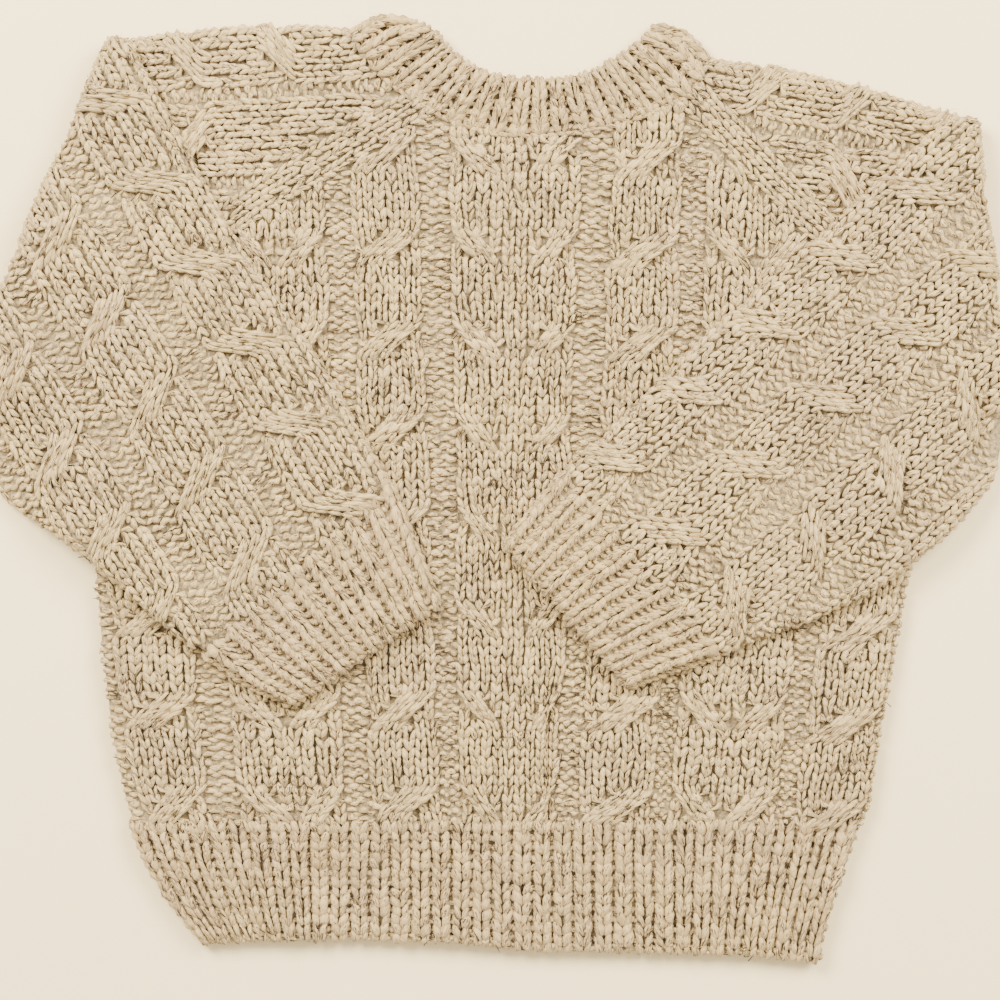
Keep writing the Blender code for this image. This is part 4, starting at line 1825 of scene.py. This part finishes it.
@dataclass
class Cuff:
    """A ribbed cuff: its shell and the ribs of its upper face, rolled round both edges."""

    wardrobe: Wardrobe
    form: SleeveForm
    name: str
    area: float
    flat: tuple

    def edges(self, down: np.ndarray) -> tuple:
        """Both edge points at a share down from the cuff's seam to its rim.

        Args:
            down: shares.

        Returns:
            Points at the shoulder edge and at the underarm edge.
        """
        table = np.array(self.form.cut.cuff)
        at = np.clip(down, -0.2, 1.1) * 2
        low = np.clip(at.astype(int), 0, 1)
        part = (at - low)[..., None]
        row = table[low] + (table[low + 1] - table[low]) * part
        return row[..., :2], row[..., 2:]

    def formula(self, wale: np.ndarray, row: np.ndarray) -> np.ndarray:
        """Cloth point of the rib chart: ribs by their share of the way from edge to edge and round.

        Args:
            wale, row: places in the chart.

        Returns:
            Points of shape (..., 3) in millimetres.
        """
        down = row / CUFF_ROWS
        top, under = self.edges(down)
        span = np.linalg.norm(under - top, axis=-1)
        across = (under - top) / span[..., None]
        flat = span - 2 * TUBE_HALF
        wrap = math.pi / 2 * TUBE_HALF
        reach = wale / (2 * CUFF_RIBS) * (flat + 2 * wrap) - wrap
        out_near, drop_near = roll_over(-reach, TUBE_HALF)
        out_far, drop_far = roll_over(reach - flat, TUBE_HALF)
        t = np.where(reach < 0, -out_near, np.where(reach > flat, flat + out_far, reach)) + TUBE_HALF
        x, y = top[..., 0] + across[..., 0] * t, top[..., 1] + across[..., 1] * t
        lip_past = np.maximum(down - CUFF_LIP, 0) * CUFF_REACH
        lip_out, lip_drop = roll_over(lip_past, LIP_RADIUS)
        z = self.form.folded_top(x, y) - drop_near - drop_far - lip_drop
        x = x - (lip_past - lip_out) * self.form.run[0]
        y = y - (lip_past - lip_out) * self.form.run[1]
        return np.stack([x, y, z], axis=-1)

    def shell(self) -> bpy.types.Object:
        """The cuff's flattened tube.

        Returns:
            The shell.
        """
        lines = []
        downs = np.concatenate([np.linspace(0.01, 0.94, 14), [0.97, 0.985]])
        share = np.linspace(0.0, 1.0, 25)[:, None]
        for down in downs:
            top, under = self.edges(np.array(down))
            line = top + (under - top) * share
            height = self.form.rest_height(*line.T) + TUBE_HALF
            lines.append(pull_in(np.column_stack([line, height]), TUBE_HALF))
        thin = np.where(downs > 0.98, 0.8, 0.0)
        return tube_shell(self.name + "_cloth", lines, [UP] * len(lines), thin)

    def build(self) -> list:
        """Shell and ribs, dressed.

        Returns:
            The shell, then its stitches.
        """
        shell = self.shell()
        self.wardrobe.dress(shell, self.wardrobe.base, RIB_SLOT)
        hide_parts(self.name)
        surface = Surface(self.formula, (-2.0, 2 * CUFF_RIBS + 2.0), (-1.5, CUFF_ROWS + 2.0))
        chart = Chart(2 * CUFF_RIBS + 1, CUFF_ROWS)
        knit = Knitting(self.name + "_ribs", surface, chart, CUFF_PITCH, FINE_LEG,
                        SEED + 40 + self.form.cut.side, size=1.03)
        pieces = rib_pieces(knit, CUFF_ROWS + 1, CUFF_ROWS)
        for piece in pieces:
            self.wardrobe.dress(piece, self.wardrobe.rib, RIB_SLOT)
        return [shell, *pieces]


# ---- Neckband and raglan seams ----

NECK_RIBS = 19
NECK_ROWS = 6
NECK_PITCH = (6.0, 5.1)
BAND_HEIGHT = 31.0
BAND_LIP = 0.9  # share up the band past which it rounds over
BAND_LIP_RADIUS = 3.2
RIDGE_ROW = 5.0  # height of a row of the ridge below the band
END_BULGE = 5.0  # how far the band's ends round out past its corners


@dataclass
class Neckband:
    """The ribbed crew band, and the ridge of picked-up stitches below it."""

    wardrobe: Wardrobe

    def __post_init__(self) -> None:
        """Draw the seam line and the rim."""
        table = np.array(NECK_TABLE)
        self.seam, self.rim = PlanCurve(table[:, :2]), PlanCurve(table[:, 2:])

    def plan(self, share: np.ndarray, up: np.ndarray) -> np.ndarray:
        """Plan point at a share round the U and a share up from the seam to the rim.

        Args:
            share: share round.
            up: share up.

        Returns:
            Points of shape (..., 2).
        """
        low = self.seam.at(share * self.seam.length)
        high = self.rim.at(share * self.rim.length)
        square = unit(high - low)
        toward_end = np.where(share < 0.5, -1.0, 1.0)[..., None]
        outward = np.stack([square[..., 1], -square[..., 0]], axis=-1) * toward_end
        near_end = smooth_step(np.abs(share - 0.5), 0.38, 0.5)
        bulge = END_BULGE * np.sin(math.pi * np.clip(up, 0, 1)) * near_end
        return low + (high - low) * up[..., None] + outward * bulge[..., None]

    def formula(self, wale: np.ndarray, row: np.ndarray) -> np.ndarray:
        """Cloth point of the rib chart: ribs round the U, crowned across the band, rolled at the rim.

        Args:
            wale, row: places in the chart.

        Returns:
            Points of shape (..., 3) in millimetres.
        """
        share, up = wale / (2 * NECK_RIBS), row / NECK_ROWS
        held = np.clip(share, 0.0, 1.0)
        rim_past = np.maximum(up - BAND_LIP, 0) * BAND_HEIGHT
        out, drop = roll_over(rim_past, BAND_LIP_RADIUS)
        point = self.plan(held, np.minimum(up, BAND_LIP) + out / BAND_HEIGHT)
        along = unit(self.seam.heading(held * self.seam.length))
        point = point + along * ((share - held) * self.seam.length)[..., None] * 0.5
        ends = np.clip(np.abs(share - 0.5) * 2, 0.0, 1.4)
        roll = 10.0 * np.maximum(ends - 0.93, 0.0) / 0.07
        crown = 1.6 * np.sin(math.pi * np.clip(up, 0, 1)) + 2.2 * smooth_step(ends, 0.55, 0.9)
        z = TUBE + crown - drop - roll * 0.35
        return np.concatenate([point, z[..., None]], axis=-1)

    def shell(self) -> bpy.types.Object:
        """The band's flattened ring.

        Returns:
            The shell.
        """
        share = np.linspace(0.0, 1.0, 49)
        lines = []
        ups = np.array([0.015, 0.15, 0.3, 0.45, 0.6, 0.75, 0.9, 0.97])
        for up in ups:
            line = self.plan(share, np.full_like(share, up))
            reach = np.concatenate([[0.0], np.cumsum(np.linalg.norm(np.diff(line, axis=0), axis=1))])
            spots = np.linspace(TUBE_HALF, reach[-1] - TUBE_HALF, len(share))
            short = np.stack([np.interp(spots, reach, line[:, axis]) for axis in (0, 1)], axis=-1)
            lines.append(np.column_stack([short, np.full(len(short), TUBE_HALF)]))
        thin = np.where(ups > 0.95, 0.8, 0.0)
        return tube_shell("neckband_cloth", lines, [-UP] * len(lines), thin)

    def build(self) -> list:
        """Shell, ribs and ridge, dressed.

        Returns:
            The shell, then its stitches.
        """
        shell = self.shell()
        self.wardrobe.dress(shell, self.wardrobe.base, RIB_SLOT)
        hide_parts("neckband")
        surface = Surface(self.formula, (-2.0, 2 * NECK_RIBS + 2.0), (-1.5, NECK_ROWS + 2.0))
        chart = Chart(2 * NECK_RIBS + 1, NECK_ROWS)
        knit = Knitting("neckband_ribs", surface, chart, NECK_PITCH, FINE_LEG, SEED + 50, size=0.97)
        pieces = [*rib_pieces(knit, NECK_ROWS + 2, NECK_ROWS), self.ridge()]
        for piece in pieces:
            self.wardrobe.dress(piece, self.wardrobe.rib, RIB_SLOT)
        return [shell, *pieces]

    def ridge(self) -> bpy.types.Object:
        """One row of stitches lying along the neck's seam, where the band is picked up.

        Returns:
            The piece.
        """
        rows = int(self.seam.length / RIDGE_ROW)

        def formula(wale: np.ndarray, row: np.ndarray) -> np.ndarray:
            """Along the seam by rows, and out from it by wales."""
            away = -((wale - 0.5) * 4.0 + 1.6)
            return self.seam.beside(row * RIDGE_ROW, away, np.full(wale.shape, TUBE + 0.2))

        surface = Surface(formula, (-1.0, 4.0), (-2.0, rows + 2.0))
        knit = Knitting("neck_ridge", surface, Chart(1, rows), (4.4, RIDGE_ROW), FINE_LEG, SEED + 60)
        return knit.build(*every_stitch(1, 1, rows))


@dataclass
class RaglanSeam:
    """Three wales that run along a raglan seam, where the decreases lean into it."""

    wardrobe: Wardrobe
    form: SleeveForm
    name: str

    def build(self) -> bpy.types.Object:
        """The wales, left out where the folded sleeve covers them.

        Returns:
            The piece.
        """
        seam = PlanCurve(self.form.cut.raglan)
        rows = int(seam.length / ROW)

        def formula(wale: np.ndarray, row: np.ndarray) -> np.ndarray:
            """Along the seam by rows, and across it by wales, with the middle wale standing up."""
            away = (wale - 1.5) * 7.0
            return seam.beside(row * ROW, away, TUBE + 0.3 + 0.8 * np.exp(-(away / 3.5) ** 2))

        surface = Surface(formula, (-1.0, 4.0), (-2.0, rows + 2.0))
        chart = Chart(3, rows)
        seed = SEED + 70 + self.form.cut.side
        knit = Knitting(self.name, surface, chart, (STITCH, -ROW), FINE_LEG, seed)
        wale, row = every_stitch(3, 0, rows)
        middle = knit.middles(wale, row)[:, :2]
        keep = depth_inside(middle, self.form.outline()) < SHOULDER_MARGIN
        piece = knit.build(wale[keep], row[keep])
        self.wardrobe.dress(piece, self.wardrobe.cable, CABLE_SLOT)
        return piece


# ---- Halo ----

HAIR_RISE = 3.0  # the most that a hair stands over its root
DARK_HAIR_LEVEL = 9.0  # dark hairs root above this height
DARK_HAIR_LIFT = 0.5  # and lie this far over the yarn
HAIR_POINTS = 7  # three at the root, three at the bend and the tip


@dataclass
class Halo:
    """Loose hairs of the yarn: thin three-sided spikes with one bend.

    Pale hairs stand out of the stitches; dark ones lie along them, like dark fibres spun in.

    Args:
        wardrobe: the finishes.
        name: the piece's name.
        dark: whether these are the dark hairs, which gather in clusters.
        count: how many hairs.
        length: (middle, spread) of their lengths in millimetres, spread as a share.
        width: half width at the root in millimetres.
        seed: seed of their places.
    """

    wardrobe: Wardrobe
    name: str
    dark: bool
    count: int
    length: tuple
    width: float
    seed: int

    def build(self, hosts: list) -> bpy.types.Object:
        """Root the hairs in points of the hosts' stitches.

        A pale hair runs out from its root by its length times a direction, which is the root's normal
        mixed with chance; its second half turns by a further chance direction and drops a little. A
        dark hair runs along its stitch's leg, from half its length before its root, just over the yarn.

        Args:
            hosts: the pieces of stitches to root them in.

        Returns:
            The hairs as one piece.
        """
        rng = np.random.default_rng(self.seed)
        roots, normals, runs = [], [], []
        for host in hosts:
            size = len(host.data.vertices)
            points, facing = np.empty(size * 3, np.float32), np.empty(size * 3, np.float32)
            host.data.vertices.foreach_get("co", points)
            host.data.vertices.foreach_get("normal", facing)
            roots.append(points.reshape(-1, 3))
            normals.append(facing.reshape(-1, 3))
            legs = points.reshape(-1, host["leg_points"], 3)
            runs.append(np.repeat(legs[:, -1] - legs[:, 0], host["leg_points"], axis=0))
        roots, normals, runs = np.concatenate(roots), np.concatenate(normals), np.concatenate(runs)
        outer = np.flatnonzero(normals[:, 2] > (0.35 if self.dark else -0.2))
        if self.dark:
            outer = outer[roots[outer, 2] > DARK_HAIR_LEVEL * MM]
            x, y = roots[outer, 0] / MM, roots[outer, 1] / MM
            crowd = 0.35 + ripple(x, y, 38.0, 57) + 0.7 * ripple(x, y, 14.0, 58)
            outer = outer[rng.random(len(outer)) < np.clip(crowd, 0.06, 1.0)]
        chosen = rng.choice(outer, self.count, replace=False)
        root, normal = roots[chosen] / MM + np.array([*LAYOUT_MIDDLE, 0.0]), normals[chosen]
        length = self.length[0] * np.exp(rng.normal(0.0, self.length[1], (self.count, 1)))
        start = unit(normal * (0.12 if self.dark else 0.75) + rng.normal(0.0, 0.6, (self.count, 3)))
        turn = unit(start + rng.normal(0.0, 0.55, (self.count, 3)) - np.array([0.0, 0.0, 0.25]))
        if self.dark:
            run = unit(runs[chosen]) * rng.choice([-1.0, 1.0], (self.count, 1))
            start = unit(run + 0.12 * normal + rng.normal(0.0, 0.16, (self.count, 3)))
            turn = unit(run - 0.10 * normal + rng.normal(0.0, 0.16, (self.count, 3)))
            root = root + DARK_HAIR_LIFT * normal - 0.5 * length * start
        bend = root + start * length * 0.5
        tip = bend + turn * length * 0.5
        for point in (bend, tip):
            point[:, 2] = np.clip(point[:, 2], 0.3, root[:, 2] + HAIR_RISE)
        side = unit(np.cross(start, rng.normal(0.0, 1.0, (self.count, 3))))
        other = np.cross(start, side)
        angles = np.arange(3) * math.tau / 3
        cosine, sine = np.cos(angles)[None, :, None], np.sin(angles)[None, :, None]
        circle = cosine * side[:, None] + sine * other[:, None]
        thick = self.width * (0.75 + 0.5 * rng.random((self.count, 1, 1)))
        points = np.concatenate([
            root[:, None] + circle * thick, bend[:, None] + circle * thick * 0.8, tip[:, None],
        ], axis=1)
        grain = [(0, 2, 1)]
        for corner in range(3):
            after = (corner + 1) % 3
            grain += [(corner, after, 3 + after), (corner, 3 + after, 3 + corner)]
            grain += [(3 + corner, 3 + after, HAIR_POINTS - 1)]
        first = np.arange(self.count)[:, None, None] * HAIR_POINTS
        faces = (np.array(grain)[None] + first).reshape(-1, 3)
        piece = make_object(self.name, points.reshape(-1, 3), faces)
        self._mark(piece, rng)
        finish = self.wardrobe.dark_hair if self.dark else self.wardrobe.hair
        self.wardrobe.dress(piece, finish, CABLE_SLOT)
        return piece

    def _mark(self, piece: bpy.types.Object, rng: np.random.Generator) -> None:
        """Give each hair one shade, one place in the wool's pattern and one cell of the map.

        Args:
            piece: the hairs.
            rng: draws the shades and places.
        """
        tone = np.repeat(rng.normal(0.0, 1.0, self.count), HAIR_POINTS)
        store_yarn(piece, np.repeat(rng.uniform(0.0, 900.0, (self.count, 3)), HAIR_POINTS, axis=0), tone)
        shares = [[(0.0, 0.0), (0.1, 0.0), (0.0, 0.1)]]
        for corner in range(3):
            low, high = corner / 3, (corner + 1) / 3
            shares += [
                [(low, 0.1), (high, 0.1), (high, 0.5)],
                [(low, 0.1), (high, 0.5), (low, 0.5)],
                [(low, 0.5), (high, 0.5), ((low + high) / 2, 1.0)],
            ]
        lay_cells(piece, self.count, np.array(shares))


# ---- Room ----

@dataclass(frozen=True)
class Studio:
    """A plain pale floor, a broad soft light from each upper corner, and the camera straight above."""

    view_width: float = 0.600
    lens: float = 85.0
    sensor: float = 36.0
    level: float = 0.012
    aim: tuple = (0.00526, -0.0045)
    floor_size: float = 6.0

    def floor(self) -> None:
        """The pale surface that the sweater lies on."""
        half = self.floor_size / 2
        mesh = bpy.data.meshes.new("floor")
        corners = [(-half, -half, 0), (half, -half, 0), (half, half, 0), (-half, half, 0)]
        mesh.from_pydata(corners, [], [(0, 1, 2, 3)])
        floor = bpy.data.objects.new("floor", mesh)
        bpy.context.scene.collection.objects.link(floor)
        floor.location.z = -0.0004
        colour = (0.865, 0.738, 0.455, 1.0)
        plain = Shading("floor", Base_Color=colour, Roughness=0.85, Specular_IOR_Level=0.1)
        mesh.materials.append(plain.material)

    def light(self, name: str, place: tuple, size: float, power: float, colour: tuple) -> None:
        """An area light that faces the middle of the sweater.

        Args:
            name: its name.
            place: where it stands, in metres.
            size: diameter.
            power: watts.
            colour: its colour.
        """
        lamp = bpy.data.lights.new(name, "AREA")
        lamp.shape, lamp.size, lamp.energy, lamp.color = "DISK", size, power, colour
        holder = bpy.data.objects.new(name, lamp)
        holder.location = place
        toward = -np.array(place)
        yaw = math.atan2(toward[1], toward[0])
        tilt = math.acos(-toward[2] / np.linalg.norm(toward))
        holder.rotation_euler = (tilt, 0.0, yaw - math.pi / 2)
        bpy.context.scene.collection.objects.link(holder)

    def camera(self) -> None:
        """The camera, as far up as its lens needs for the view's width."""
        data = bpy.data.cameras.new("camera")
        data.lens, data.sensor_width = self.lens, self.sensor
        camera = bpy.data.objects.new("camera", data)
        camera.location = (*self.aim, self.level + self.view_width * self.lens / self.sensor)
        bpy.context.scene.collection.objects.link(camera)
        bpy.context.scene.camera = camera

    def build(self) -> None:
        """Floor, lights, sky and camera."""
        self.floor()
        self.light("window", (-0.9, 0.9, 1.4), 0.9, 96.0, (1.0, 0.91, 0.77))
        self.light("fill", (1.2, 0.9, 1.5), 1.2, 98.0, (1.0, 0.93, 0.82))
        world = bpy.data.worlds.new("room")
        world.use_nodes = True
        world.node_tree.nodes["Background"].inputs["Color"].default_value = (1.0, 0.91, 0.77, 1.0)
        world.node_tree.nodes["Background"].inputs["Strength"].default_value = 1.48
        bpy.context.scene.world = world
        self.camera()


def main() -> None:
    """Build the sweater piece by piece, log its triangles, then build its room."""
    logging.basicConfig(level=logging.INFO, format="%(name)s: %(message)s")
    wardrobe = Wardrobe()
    left, right = SleeveForm(LEFT_CUT), SleeveForm(RIGHT_CUT)
    covers = [left.outline(), right.outline()]
    makers = [
        BodyPanel(wardrobe, False),
        BodyPanel(wardrobe, True, covers),
        Hem(wardrobe, False),
        Hem(wardrobe, True),
        Sleeve(wardrobe, left, "sleeve_left",
               sleeve_chart(3, 60, (4.6, 4.6, 4.6), (Lean.LEFT, Lean.RIGHT, Lean.RIGHT), 2),
               sleeve_chart(0, 38, (8.5, 18.0, 8.5), (Lean.LEFT, Lean.RIGHT, Lean.RIGHT), 1, 20.0),
               0.149, (0.41, 0.56)),
        Sleeve(wardrobe, right, "sleeve_right",
               sleeve_chart(2, 65, (7.5, 7.5, 7.5), (Lean.LEFT, Lean.LEFT, Lean.RIGHT), 2),
               sleeve_chart(0, 38, (7.3, 7.3, 7.3), (Lean.LEFT, Lean.RIGHT, Lean.RIGHT), 1),
               0.127, (0.38, 0.53)),
        Cuff(wardrobe, left, "cuff_left", 0.0158, (0.26, 0.068)),
        Cuff(wardrobe, right, "cuff_right", 0.0132, (0.26, 0.056)),
        Neckband(wardrobe),
    ]
    pieces = [piece for maker in makers for piece in maker.build()]
    pieces.append(RaglanSeam(wardrobe, left, "raglan_left").build())
    pieces.append(RaglanSeam(wardrobe, right, "raglan_right").build())
    hosts = [piece for piece in pieces if piece.data.attributes.get("yarn")]
    pieces.append(Halo(wardrobe, "halo_short", False, 8000, (4.6, 0.35), 0.09, SEED + 90).build(hosts))
    pieces.append(Halo(wardrobe, "halo_long", False, 900, (9.0, 0.4), 0.07, SEED + 91).build(hosts))
    pieces.append(Halo(wardrobe, "halo_dark", True, 5600, (5.2, 0.35), 0.38, SEED + 92).build(hosts))
    for piece in pieces:
        piece.data.calc_loop_triangles()
        LOG.info("%s: %d triangles", piece.name, len(piece.data.loop_triangles))
    LOG.info("all: %d triangles", sum(len(piece.data.loop_triangles) for piece in pieces))
    Studio().build()


if __name__ == "__main__":
    main()
